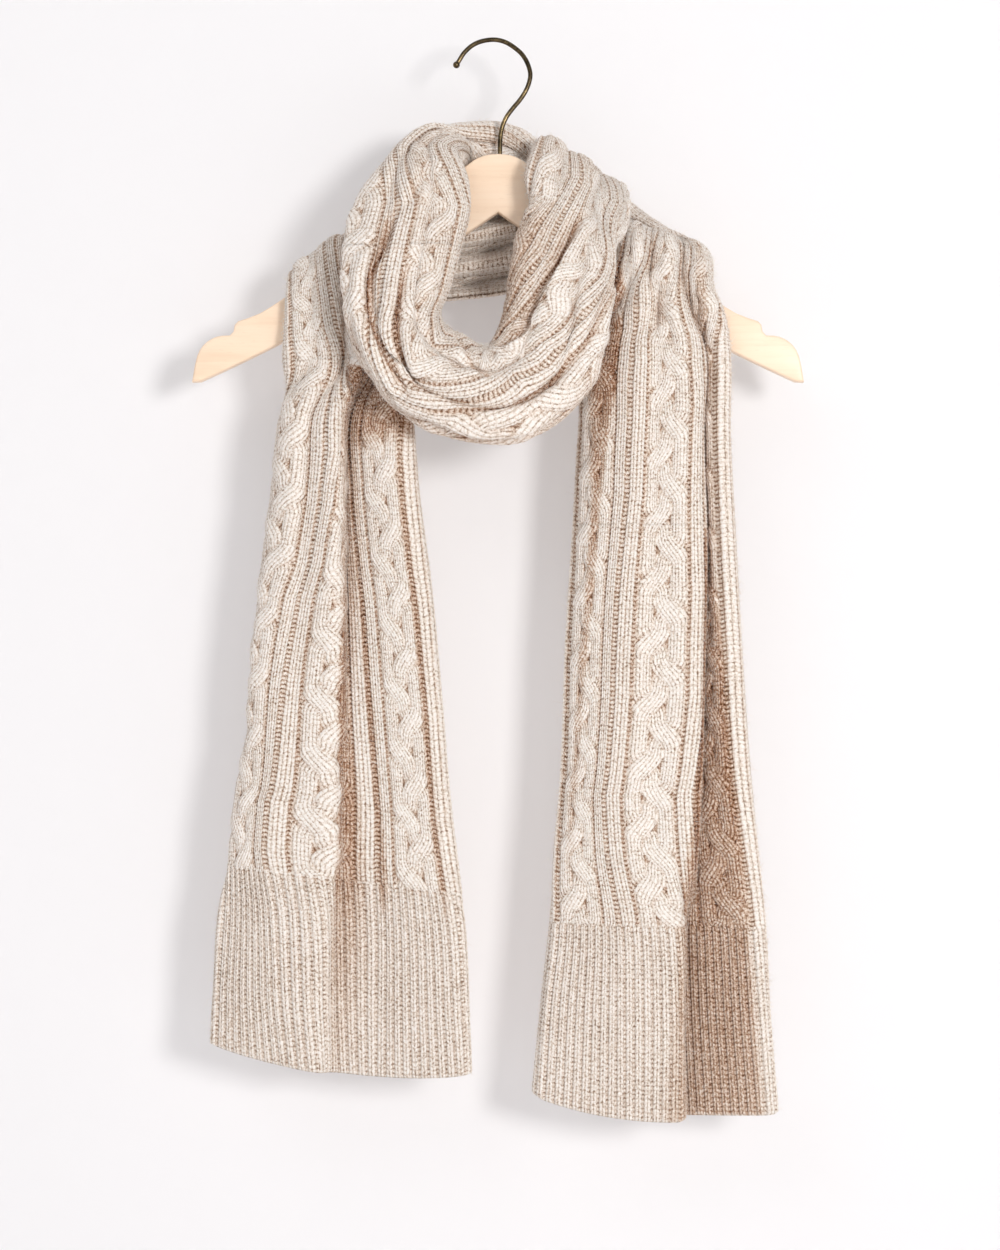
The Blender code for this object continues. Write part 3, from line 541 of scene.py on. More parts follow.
def stitch_field(at, width):
    """Relief, shift along the strip, purl mask for each vertex; stitch places for each face corner."""
    rows = len(at)
    crown = (np.arange(rows) % 2).astype(float)[:, None]       # 0 between rows, 1 on them
    # ribbed ends
    k = np.arange(COLS + 1) % RIB_COLUMNS
    rib_line = np.array([-1.15, -0.30, 0.75, 0.35, 0.75, -0.30, -1.25])[k]
    rib_crown = np.array([0.40, 0.15, 0.50, 0.30, 0.50, 0.15, 0.40])[k]
    rib_shift = np.array([0.0, 0.15, -0.15, -0.5, -0.15, 0.15, 0.0])[k]
    rib_h = rib_line + rib_crown * (crown - 0.5)
    rib_d = np.broadcast_to(rib_shift * ROW, rib_h.shape)
    # cable part
    h = np.zeros((rows, COLS + 1))
    d = np.zeros((rows, COLS + 1))
    wale = np.zeros((rows, COLS, 2, 2))       # place across, for each face's corners
    tilt = np.zeros((rows, COLS, 2, 2))       # and how far its stitch rows tilt there
    vee = np.zeros((rows, COLS))              # 1 where the finish draws the stitches' V
    face_purl = np.zeros((rows, COLS))
    j = 0
    base = 0
    cable = 0
    lines = {}
    for name, units, wales, columns in WALES:
        t = np.arange(columns + 1) / columns * wales        # in stitches
        f = t % 1.0
        off = 1 - np.abs(2 * f - 1)                          # 0 at a stitch's sides, 1 in its middle
        cols = np.arange(j, j + columns + 1)
        if name == "knit":
            hh = KNIT_RISE + KNIT_LEG * (np.sin(2 * math.pi * f) ** 2 - 0.5 * (off < 0.01)) \
                + (crown - 0.5) * 0.45
            side = np.isclose(np.minimum(t, wales - t), 0.0)
            hh = np.where(side, -0.55, hh)
            dd = np.broadcast_to(-0.42 * ROW * off, hh.shape)
        elif name == "purl":
            arc = np.abs(np.sin(math.pi * t))
            hh = -PURL_DROP + PURL_BAR * (2 * crown - 1) + 0 * t
            dd = np.broadcast_to(0.16 * ROW * arc, hh.shape)
        else:
            x = (t / wales - 0.5) * 3.0
            phase = (0.0, 1.5, 3.0)[cable]
            hh, top = plait(x, at, phase)
            middle, lean, half, _ = strands(at, phase)
            every = np.arange(rows)[:, None]
            g = (x[None, :] - middle[top, every]) / half[top, every] * 1.5 + 1.5
            hh = hh - 0.30 * (1 - np.abs(np.sin(math.pi * g))) + 0.25 * (crown - 0.5)
            edge = np.clip(np.minimum(t, wales - t) / 0.6, 0, 1)
            hh = hh * edge + -0.6 * (1 - edge)
            dd = np.zeros(hh.shape)
            cable += 1
        h[:, cols[:-1]] = hh[:, :-1]
        d[:, cols[:-1]] = dd[:, :-1]
        lines[j + columns] = (hh[:, -1], dd[:, -1])
        # stitch places on faces
        if name == "plait":
            x_face = (x[1:] + x[:-1]) / 2
            _, top = plait(x_face, at + at[1] / 2, phase)
            every = np.arange(rows)[:, None]
            slot_mm = (units / 228.0 * width / 3.0)[:, None]
            for side, line in ((0, x[:-1]), (1, x[1:])):
                for ahead in (0, 1):
                    now = np.minimum(every + ahead, rows - 1)
                    off = line[None, :] - middle[top, now]
                    wale[:, j:j + columns, side, ahead] = np.clip(off / half[top, now] * 1.5 + 1.5, -0.2, 3.2)
                    tilt[:, j:j + columns, side, ahead] = lean[top, now] * slot_mm * off * slot_mm / ROW
            vee[:, j:j + columns] = 1.0
        else:
            wale[:, j:j + columns, 0] = (t[:-1] + base)[:, None]
            wale[:, j:j + columns, 1] = (t[1:] + base)[:, None]
            face_purl[:, j:j + columns] = name == "purl"
        base += wales
        j += columns
    for line, (hh, dd) in lines.items():          # a line shared by two kinds lies in the lower one
        if line == COLS:
            h[:, line], d[:, line] = hh, dd
        else:
            h[:, line] = np.minimum(h[:, line], hh)
            d[:, line] = 0.0
    # places on the ribbed faces
    rib_wale = np.empty((COLS, 2))
    local = np.arange(COLS) % RIB_COLUMNS
    start = np.where(local == 0, -0.25, np.where(local >= 5, 1.0 + (local - 5) / 3.0, (local - 1) / 4.0))
    stop = np.where(local == 0, 0.0, np.where(local >= 5, 1.0 + (local - 4) / 3.0, local / 4.0))
    rib_wale[:, 0], rib_wale[:, 1] = start, stop
    rib_face_purl = ((local == 0) | (local >= 5)).astype(float)
    # where the ribbing is
    total = at[-1]
    ribbed = np.clip((RIBBING - at) / 3.0, 0, 1) + np.clip((at - (total - RIBBING)) / 3.0, 0, 1)
    ribbed = np.clip(ribbed, 0, 1)[:, None]
    # rise: relief height that the finish paints as shade, darker low and lighter high; weaker in the ribbing
    rise = h * (1 - ribbed) + 0.35 * rib_h * ribbed
    h = h * (1 - ribbed) + rib_h * ribbed
    d = d * (1 - ribbed) + rib_d * ribbed
    share = CABLE_SHARE * (1 - ribbed) + RIB_SHARE * ribbed
    half = ribbed[:, 0] > 0.5
    wale[half] = rib_wale[:, :, None]
    tilt[half] = 0.0
    vee[half] = 0.0
    face_purl[half] = rib_face_purl
    return h, rise, d, share, wale, tilt, vee, face_purl


def read_across(grid, share):
    """Points of each row of grid at the given shares across it."""
    fine = grid.shape[1] - 1
    f = np.clip(share, 0, 1) * fine
    k = np.minimum(f.astype(int), fine - 1)
    w = (f - k)[..., None]
    rows = np.arange(grid.shape[0])[:, None]
    return grid[rows, k] * (1 - w) + grid[rows, k + 1] * w


def soften(field, times, axis):
    for _ in range(times):
        inner = (np.roll(field, 1, axis) + np.roll(field, -1, axis) + 2 * field) / 4
        keep = [slice(None)] * field.ndim
        keep[axis] = slice(1, -1)
        field = field.copy()
        field[tuple(keep)] = inner[tuple(keep)]
    return field


def crease_field(at, reach, share, cloth):
    """Height (mm) that the listed creases add at each point, and the painted shade of the creases and of the SHADED
    table.
    """
    height = np.zeros(share.shape)
    dark = np.zeros(share.shape)
    sections = np.interp(at, reach, np.arange(len(reach)))
    for drop, lip, width, side, shade, line in CREASES:
        places = np.array(line, float)
        if places[0, 1] > places[-1, 1]:
            places = places[::-1]
        low, high = places[0, 1], places[-1, 1]
        middle = smooth_curve(places[:, 1], places[:, 0], np.clip(sections, low, high))
        ends = np.clip(np.minimum(sections - low, high - sections) / 0.55, 0, 1)
        ends = (ends * ends * (3 - 2 * ends))[:, None]
        fade = np.clip(np.minimum(sections - low, high - sections) / 1.1, 0, 1)[:, None]
        u = (share - middle[:, None]) * cloth[:, None]
        if side == 0:
            shape = -drop * np.exp(-(u / width) ** 2) \
                + lip * np.exp(-((np.abs(u) - 2.2 * width) / width) ** 2)
            cast = np.exp(-(u / (0.5 * width)) ** 2)
        else:
            u = u * side
            edge = np.exp(-(np.maximum(u, 0) / 1.4) ** 2)
            inside = lip * edge - drop * (1 - edge) * np.exp(-(u / width) ** 2)
            shape = np.where(u < 0, lip * np.exp(-(u / 9.0) ** 2), inside)
            cast = np.where(u < 0, 0.0, (1 - np.exp(-(u / 1.0) ** 2)) * np.exp(-(u / width) ** 2))
        height += shape * ends
        # painted shade in the crease's valley
        dark = np.maximum(dark, shade * cast * fade)
    # painted shade from the SHADED table
    for (s0, a0, b0, d0, e0, f0), (s1, a1, b1, d1, e1, f1) in zip(SHADED, SHADED[1:]):
        if s1 <= s0:
            continue
        k = ((sections - s0) / (s1 - s0))[:, None]
        here = (k >= 0) & (k < 1)
        low, high, much = a0 + (a1 - a0) * k, b0 + (b1 - b0) * k, d0 + (d1 - d0) * k
        cover = np.clip((share - low) / (e0 + (e1 - e0) * k) + 0.5, 0, 1) \
            * np.clip((high - share) / (f0 + (f1 - f0) * k) + 0.5, 0, 1)
        dark = np.maximum(dark, np.where(here, much * cover, 0.0))
    return height, dark


def shade_field(mid, grid, at, reach):
    """How deep each point lies in a fold: 0 in the open, towards 1 in a narrow valley; painted into the knit's
    colour as shade.
    """
    rows, cols = mid.shape[:2]
    facing = np.array([row[7:10] for row in SECTIONS], float)
    facing /= np.linalg.norm(facing, axis=1, keepdims=True)
    facing = smooth_curve(reach, facing, at)
    facing /= np.linalg.norm(facing, axis=1, keepdims=True)
    depth = np.einsum("ijk,ik->ij", mid, facing)
    across = grid[:, -1] - grid[:, 0]
    across /= np.linalg.norm(across, axis=1, keepdims=True)
    along = np.einsum("ijk,ik->ij", mid, across)
    walls = []
    for way in (1, -1):
        highest = np.zeros((rows, cols))
        for k in range(3, 60, 3):
            j = np.clip(np.arange(cols) + way * k, 0, cols - 1)
            rise = depth[:, j] - depth
            run = np.abs(along[:, j] - along)
            highest = np.maximum(highest, rise / np.sqrt(rise * rise + run * run + 9.0))
        walls.append(highest)
    shade = walls[0] + walls[1]
    shade = np.clip((shade - 0.75) / 1.05, 0, 1)
    return soften(soften(shade, 3, 1), 3, 0)


def painted_hollow_shade(h):
    """How far each point lies in a groove or under the strand that crosses it, 0 in the open: painted shade for the
    knit's colour.
    """
    near = soften(soften(h, 6, 1), 3, 0)
    wide = soften(soften(h, 30, 1), 16, 0)
    return np.clip((near - h - 0.10) / 1.3, 0, 0.7) + np.clip((wide - h - 0.25) / 1.6, 0, 0.8)


def make_strip():
    rings, reach, spans = strip(449)
    total = reach[-1]
    rows = int(round(total / ROW)) * 2 + 1
    at = np.linspace(0.0, total, rows)
    cloth = np.interp(at, reach, [row[11] for row in SECTIONS])
    h, rise, d, share, wale, tilt, vee, face_purl = stitch_field(at, cloth)
    squeeze = np.clip((WIDTH_LOOSE - cloth) / (WIDTH_LOOSE - WIDTH_SQUEEZED), 0.0, 1.0)
    thick = (CLOTH_THICK - (CLOTH_THICK - CLOTH_SQUEEZED) * squeeze)[:, None]
    relief = (1.0 - 0.35 * squeeze)[:, None]
    grid = smooth_curve(reach, rings, at)
    ahead = smooth_curve(reach, rings, np.minimum(at + 3.0, total))
    behind = smooth_curve(reach, rings, np.maximum(at - 3.0, 0.0))
    sections = np.interp(at, reach, np.arange(len(reach)))
    pull = np.interp(sections, [row[0] for row in PULLED], [row[1] for row in PULLED])[:, None]
    share = share + pull * 4 * share * (1 - share)
    moves = np.array([np.interp(sections, [row[0] for row in GROOVES], [row[k] for row in GROOVES])
                      for k in range(1, 5)]).T
    for i in np.flatnonzero(np.abs(moves).max(axis=1) > 0):
        share[i] = np.interp(share[i], GROOVE_SHARES, np.array(GROOVE_SHARES) + [0.0, *moves[i], 0.0])
    ease = np.interp(sections, [row[0] for row in EASED], [row[1] for row in EASED], 0.0, 0.0)
    packed = np.flatnonzero(ease > 0)
    place = np.linspace(0, 1, 113)
    near = np.exp(-((place[:, None] - place[None, :]) / 0.13) ** 2)
    near /= near.sum(axis=1, keepdims=True)
    wide = np.linspace(0, 1, 449)[None, :, None]
    for i in packed:
        chord = grid[i, :1] * (1 - wide[0]) + grid[i, -1:] * wide[0]
        bulge = near @ (grid[i] - chord)[::4]
        bulge *= np.clip(np.minimum(place, 1 - place) / 0.06, 0, 1)[:, None]
        fine = np.stack([np.interp(wide[0, :, 0], place, bulge[:, k]) for k in range(3)], -1)
        grid[i] = grid[i] * (1 - ease[i]) + (chord + 1.25 * fine) * ease[i]
    for s0, s1, far, way in NUDGED:
        k = np.clip(np.minimum(sections - s0, s1 - sections) / (0.4 * (s1 - s0)), 0, 1)
        k = k * k * (3 - 2 * k)
        across = np.linspace(0, 1, 449)
        across = np.clip((far - across) / far, 0, 1) if far > 0 else np.clip((across - 1 - far) / -far, 0, 1)
        across = across * across * (3 - 2 * across)
        grid = grid + (k[:, None] * across[None, :])[..., None] * np.array(way, float)
    mid = read_across(grid, share)
    along = read_across(ahead - behind, share)
    step = total / (rows - 1)
    across = np.gradient(soften(mid, 3, 1), axis=1)
    out = np.cross(across, along)
    out /= np.linalg.norm(out, axis=2, keepdims=True)
    out = soften(soften(out, 4, 1), 4, 0)
    out /= np.linalg.norm(out, axis=2, keepdims=True)
    # one millimetre along the cloth, at each point
    pace = along / 6.0
    speed = np.linalg.norm(pace, axis=2, keepdims=True)
    pace = pace / np.maximum(speed, 0.35)
    # rounded selvedges and ends
    edge = np.minimum(share, 1 - share) * cloth[:, None]
    hem = np.minimum(at, total - at)[:, None]
    r = 2.6
    round_side = np.sqrt(np.clip(1 - (1 - np.clip(edge / r, 0, 1)) ** 2, 0.0, 1))
    round_hem = np.sqrt(np.clip(1 - (1 - np.clip(hem / r, 0, 1)) ** 2, 0.0, 1))
    rounding = np.maximum(round_side * round_hem, 0.06)
    pressed, dark = crease_field(at, reach, share, cloth)
    mid = mid + out * pressed[..., None]
    shift = np.clip(d, -2.2, 2.2) * np.clip(hem / 6.0, 0, 1) * np.minimum(speed[..., 0], 1.0)
    front = mid + out * ((thick * 0.36 + h * relief + 0.9) * rounding)[..., None] + pace * shift[..., None]
    back_h = -0.35 * h + 0.28 * (2 * (np.arange(rows) % 2)[:, None] - 1)
    twin = mid - out * ((thick * 0.40 + h * relief + 0.6) * rounding)[..., None]
    back = mid - out * ((thick * 0.40 + np.clip(back_h, -0.8, 1.0) * relief + 0.35) * rounding)[..., None]
    # shade and wrong are painted shade for the knit's colour: folds, creases and grooves on the front, grooves on
    # the back
    return dict(front=front, back=back, twin=twin, out=out, at=at, reach=reach, spans=spans, share=share, rise=rise,
                wale=wale, tilt=tilt, vee=vee, face_purl=face_purl, cloth=cloth, pace=pace,
                wrong=0.55 * painted_hollow_shade(-1.2 * h),
                shade=np.maximum(dark, shade_field(mid, grid, at, reach))
                + 0.40 * painted_hollow_shade(rise) * (1 - 0.6 * np.clip(dark, 0, 1)))


def put_attribute(mesh, name, kind, domain, field, values):
    layer = mesh.attributes.new(name, kind, domain)
    layer.data.foreach_set(field, np.ascontiguousarray(values, np.float32).ravel())


def shell(name, s, first, last, mat, back_rows=4, back_cols=2):
    """One closed piece of the strip: stitches on the front, a coarser wrong side.

    With one row and one column to a facet the wrong side shows its stitches too.
    """
    front = s["front"][first:last + 1]
    same = back_rows == 1 and back_cols == 1
    back = s["twin" if same else "back"][first:last + 1]
    n, m = front.shape[:2]
    fv = front.reshape(-1, 3)
    br = np.unique(np.append(np.arange(0, n, back_rows), n - 1))
    bc = np.arange(0, m, back_cols)
    if bc[-1] != m - 1:
        bc = np.append(bc, m - 1)
    bv = back[np.ix_(br, bc)].reshape(-1, 3)
    far = len(fv)
    idx = np.arange(n * m).reshape(n, m)
    a, b, c, e = idx[:-1, :-1], idx[:-1, 1:], idx[1:, 1:], idx[1:, :-1]
    quads_f = np.stack([a, b, c, e], -1).reshape(-1, 4)
    bi = far + np.arange(len(br) * len(bc)).reshape(len(br), len(bc))
    a, b, c, e = bi[:-1, :-1], bi[:-1, 1:], bi[1:, 1:], bi[1:, :-1]
    quads_b = np.stack([a, e, c, b], -1).reshape(-1, 4)
    # rims: each edge of the wrong side spans a few front edges
    rims = []

    def rim(front_line, stops, back_line, turn):
        for k in range(len(back_line) - 1):
            face = list(front_line[stops[k]:stops[k + 1] + 1]) + [back_line[k + 1], back_line[k]]
            rims.append(face[::-1] if turn else face)

    rim(idx[:, 0], br, bi[:, 0], True)
    rim(idx[:, -1], br, bi[:, -1], False)
    rim(idx[0], bc, bi[0], False)
    rim(idx[-1], bc, bi[-1], True)
    points = np.concatenate([fv, bv]) * MM
    loops = [quads_f.ravel(), quads_b.ravel()] + [np.array(r) for r in rims]
    sizes = np.concatenate([np.full(len(quads_f) + len(quads_b), 4), [len(r) for r in rims]]).astype(np.int32)
    flat = np.concatenate(loops).astype(np.int32)
    mesh = bpy.data.meshes.new(name)
    mesh.vertices.add(len(points))
    mesh.vertices.foreach_set("co", points.astype(np.float32).ravel())
    mesh.loops.add(len(flat))
    mesh.loops.foreach_set("vertex_index", flat)
    mesh.polygons.add(len(sizes))
    starts = np.concatenate([[0], np.cumsum(sizes)[:-1]]).astype(np.int32)
    mesh.polygons.foreach_set("loop_start", starts)
    mesh.polygons.foreach_set("use_smooth", np.ones(len(sizes), bool))
    mesh.update(calc_edges=True)
    mesh.validate()
    # places of the stitches, for the finish
    wale = s["wale"][first:last]
    rows = np.arange(first, last) / 2.0
    tilt = s["tilt"][first:last]
    u = np.stack([wale[:, :, 0, 0], wale[:, :, 1, 0], wale[:, :, 1, 1], wale[:, :, 0, 1]], -1)
    lean = np.stack([tilt[:, :, 0, 0], tilt[:, :, 1, 0], tilt[:, :, 1, 1], tilt[:, :, 0, 1]], -1)
    v = np.stack([rows, rows, rows + 0.5, rows + 0.5], -1)[:, None, :] + lean
    stitch = np.stack([u, v], -1).reshape(-1, 2)
    bw = np.repeat((bc[:-1] / 4.5)[None, :], len(br) - 1, 0)
    bw2 = np.repeat((bc[1:] / 4.5)[None, :], len(br) - 1, 0)
    r0 = np.repeat(((br[:-1] + first) / 2.0)[:, None], len(bc) - 1, 1)
    r1 = np.repeat(((br[1:] + first) / 2.0)[:, None], len(bc) - 1, 1)
    stitch_b = np.stack([np.stack([bw, bw, bw2, bw2], -1), np.stack([r0, r1, r1, r0], -1)], -1).reshape(-1, 2)
    if same:
        order = [0, 3, 2, 1]
        stitch_b = np.stack([u[..., order], v[..., order]], -1).reshape(-1, 2)
    pad = np.zeros((len(flat) - len(stitch) - len(stitch_b), 2))
    lay = mesh.uv_layers.new(name="OFBake")
    # baking map: front in the lower part, back above it, rims in a thin band
    uu = np.linspace(0.01, 0.99, m)
    vv = np.linspace(0.01, 0.69, n)
    U = np.broadcast_to(uu[None, :], (n, m)).ravel()
    V = np.broadcast_to(vv[:, None], (n, m)).ravel()
    bu = np.interp(bc, [0, m - 1], [0.01, 0.99])
    bvv = np.interp(br, [0, n - 1], [0.71, 0.95])
    BU = np.broadcast_to(bu[None, :], (len(br), len(bc))).ravel()
    BV = np.broadcast_to(bvv[:, None], (len(br), len(bc))).ravel()
    bake = np.empty((len(flat), 2))
    nf, nb = len(stitch), len(stitch_b)
    bake[:nf, 0], bake[:nf, 1] = U[flat[:nf]], V[flat[:nf]]
    bake[nf:nf + nb, 0], bake[nf:nf + nb, 1] = BU[flat[nf:nf + nb] - far], BV[flat[nf:nf + nb] - far]
    k = nf + nb
    cell = 0.98 / max(1, len(rims))
    for i, r in enumerate(rims):
        x0 = 0.01 + cell * i
        width = len(r) - 2
        for q in range(len(r)):
            if q < width:
                px, py = q / max(1, width - 1), 0.0
            else:
                px, py = (1.0, 1.0) if q == width else (0.0, 1.0)
            bake[k] = (x0 + px * cell * 0.8, 0.965 + 0.025 * py)
            k += 1
    lay.data.foreach_set("uv", bake.astype(np.float32).ravel())
    lay2 = mesh.uv_layers.new(name="stitch")
    lay2.data.foreach_set("uv", np.concatenate([stitch, stitch_b, pad]).astype(np.float32).ravel())
    mesh.uv_layers.active = mesh.uv_layers["OFBake"]
    mesh.uv_layers["OFBake"].active_render = True
    front_purl, front_vee = s["face_purl"][first:last].ravel(), s["vee"][first:last].ravel()
    back_purl = front_purl if same else np.ones(len(quads_b))
    back_vee = front_vee if same else np.zeros(len(quads_b))
    put_attribute(mesh, "purl", "FLOAT", "FACE", "value",
                  np.concatenate([front_purl, back_purl, np.ones(len(rims))]))
    put_attribute(mesh, "vee", "FLOAT", "FACE", "value",
                  np.concatenate([front_vee, back_vee, np.zeros(len(rims))]))
    # painted shade for the finish: the front's from folds, creases and grooves, the back's from its grooves
    dark = s["shade"][first:last + 1]
    put_attribute(mesh, "shade", "FLOAT", "POINT", "value",
                  np.concatenate([dark.ravel(), 0.0 * dark.ravel() if same else
                                  s["wrong"][first:last + 1][np.ix_(br, bc)].ravel()]))
    front_rise = np.clip(s["rise"][first:last + 1] / 3.0, -1, 1)
    # what stands up in front lies deep behind; the finish paints low places darker and high ones lighter by rise, as
    # painted shade
    low = np.concatenate([front_rise.ravel(), front_rise.ravel() if same else
                          np.clip(0.75 - 1.1 * front_rise[np.ix_(br, bc)], -1, 1).ravel()])
    put_attribute(mesh, "rise", "FLOAT", "POINT", "value", low)
    body = bpy.data.objects.new(name, mesh)
    bpy.context.scene.collection.objects.link(body)
    mesh.materials.append(mat)
    return body


def fuzz(name, s, first, last, count, mat):
    """Loose fibres of the yarn standing off the knit, as thin tapered ribbons."""
    front, out, pace = s["front"], s["out"], s["pace"]
    n_cols = front.shape[1]
    row = RNG.integers(first, last + 1, count)
    col = RNG.integers(0, n_cols, count)
    # more of them along the selvedges and at the hems
    side = RNG.random(count) < 0.22
    col = np.where(side, np.where(RNG.random(count) < 0.5, RNG.integers(0, 4, count),
                                  n_cols - 1 - RNG.integers(0, 4, count)), col)
    root = front[row, col]
    up = out[row, col]
    way = pace[row, col]
    over = np.cross(up, way)
    over /= np.maximum(np.linalg.norm(over, axis=1, keepdims=True), 1e-6)
    turn = RNG.uniform(0, 2 * math.pi, count)[:, None]
    flat = over * np.cos(turn) + way * np.sin(turn)
    sign = np.where(col < 4, 1.0, np.where(col > n_cols - 5, -1.0, 0.0))[:, None]
    flat = flat - over * sign * 0.9
    size = np.clip(1.3 + RNG.exponential(1.5, count), 0, 6.5)[:, None] * (1.0 + 0.4 * side[:, None])
    lift = RNG.uniform(0.25, 1.0, count)[:, None]
    a = root - up * 0.25
    b = a + (up * lift + flat * 0.7) * size * 0.55
    c = b + (up * (lift - 0.45) + flat + RNG.normal(0, 0.45, (count, 3))) * size * 0.55
    wide = np.cross(b - a, RNG.normal(0, 1, (count, 3)))
    wide /= np.maximum(np.linalg.norm(wide, axis=1, keepdims=True), 1e-6)
    wide *= RNG.uniform(0.065, 0.12, count)[:, None]
    points = np.stack([a - wide, a + wide, b + wide * 0.8, b - wide * 0.8, c], 1).reshape(-1, 3) * MM
    base = np.arange(count)[:, None] * 5
    quads = (base + np.array([0, 1, 2, 3])).ravel()
    tris = (base + np.array([3, 2, 4])).ravel()
    flat_loops = np.concatenate([quads, tris]).astype(np.int32)
    sizes = np.concatenate([np.full(count, 4), np.full(count, 3)]).astype(np.int32)
    mesh = bpy.data.meshes.new(name)
    mesh.vertices.add(len(points))
    mesh.vertices.foreach_set("co", points.astype(np.float32).ravel())
    mesh.loops.add(len(flat_loops))
    mesh.loops.foreach_set("vertex_index", flat_loops)
    mesh.polygons.add(len(sizes))
    mesh.polygons.foreach_set("loop_start", np.concatenate([[0], np.cumsum(sizes)[:-1]]).astype(np.int32))
    mesh.polygons.foreach_set("use_smooth", np.ones(len(sizes), bool))
    mesh.update(calc_edges=True)
    lay = mesh.uv_layers.new(name="OFBake")
    grid = int(math.ceil(math.sqrt(count)))
    cell = 1.0 / grid
    k = np.arange(count)
    corner = np.stack([(k % grid) * cell, (k // grid) * cell], -1)
    local = np.array([[0.1, 0.1], [0.5, 0.1], [0.5, 0.5], [0.1, 0.5], [0.3, 0.9]]) * cell
    uv_q = corner[:, None, :] + local[None, [0, 1, 2, 3]]
    uv_t = corner[:, None, :] + local[None, [3, 2, 4]]
    lay.data.foreach_set("uv", np.concatenate([uv_q.reshape(-1, 2), uv_t.reshape(-1, 2)]).astype(np.float32).ravel())
    body = bpy.data.objects.new(name, mesh)
    bpy.context.scene.collection.objects.link(body)
    mesh.materials.append(mat)
    return body


# ---- finishes --------------------------------------------------------------
class Finish:
    """A material made of nodes, written as plain sums."""

    def __init__(self, name):
        self.mat = bpy.data.materials.new(name)
        self.mat.use_nodes = True
        self.tree = self.mat.node_tree
        self.shader = self.tree.nodes["Principled BSDF"]

    def join(self, value, socket):
        if isinstance(value, (int, float)):
            socket.default_value = value
        elif isinstance(value, tuple):
            socket.default_value = value if len(value) == len(socket.default_value) else (*value, 1.0)
        else:
            self.tree.links.new(value, socket)

    def node(self, kind, **values):
        made = self.tree.nodes.new(kind)
        for key, value in values.items():
            if key in made.inputs:
                self.join(value, made.inputs[key])
            else:
                setattr(made, key, value)
        return made

    def calc(self, op, a, b=0.0, clamp=False):
        made = self.tree.nodes.new("ShaderNodeMath")
        made.operation = op
        made.use_clamp = clamp
        self.join(a, made.inputs[0])
        self.join(b, made.inputs[1])
        return made.outputs[0]

    def add(self, a, b):
        return self.calc("ADD", a, b)

    def times(self, a, b):
        return self.calc("MULTIPLY", a, b)

    def noise(self, where, scale, detail=2.0, rough=0.5, stretch=None):
        if stretch:
            m = self.node("ShaderNodeMapping")
            self.join(where, m.inputs["Vector"])
            m.inputs["Scale"].default_value = stretch
            where = m.outputs[0]
        made = self.node("ShaderNodeTexNoise")
        self.join(where, made.inputs["Vector"])
        made.inputs["Scale"].default_value = scale
        made.inputs["Detail"].default_value = detail
        made.inputs["Roughness"].default_value = rough
        return made.outputs[0]

    def ramp(self, value, stops):
        made = self.node("ShaderNodeValToRGB")
        self.join(value, made.inputs[0])
        keys = made.color_ramp.elements
        while len(keys) < len(stops):
            keys.new(0.5)
        for key, (place, colour) in zip(keys, stops):
            key.position = place
            key.color = (*colour, 1.0)
        return made.outputs[0]

    def mix(self, share, a, b, blend="MIX"):
        made = self.node("ShaderNodeMix", data_type="RGBA", blend_type=blend)
        self.join(share, made.inputs[0])
        self.join(a, made.inputs[6])
        self.join(b, made.inputs[7])
        return made.outputs[2]

    def bump(self, height, strength, distance, normal=None):
        made = self.node("ShaderNodeBump")
        made.inputs["Strength"].default_value = strength
        made.inputs["Distance"].default_value = distance
        self.join(height, made.inputs["Height"])
        if normal:
            self.join(normal, made.inputs["Normal"])
        return made.outputs[0]

    def here(self):
        return self.node("ShaderNodeTexCoord").outputs["Object"]

    def end(self, colour, rough, normal=None, **fixed):
        self.join(colour, self.shader.inputs["Base Color"])
        self.join(rough, self.shader.inputs["Roughness"])
        if normal:
            self.join(normal, self.shader.inputs["Normal"])
        for key, value in fixed.items():
            socket = self.shader.inputs[key.replace("_", " ")]
            socket.default_value = value
        self.mat.diffuse_color = (0.74, 0.66, 0.58, 1.0)
        return self.mat


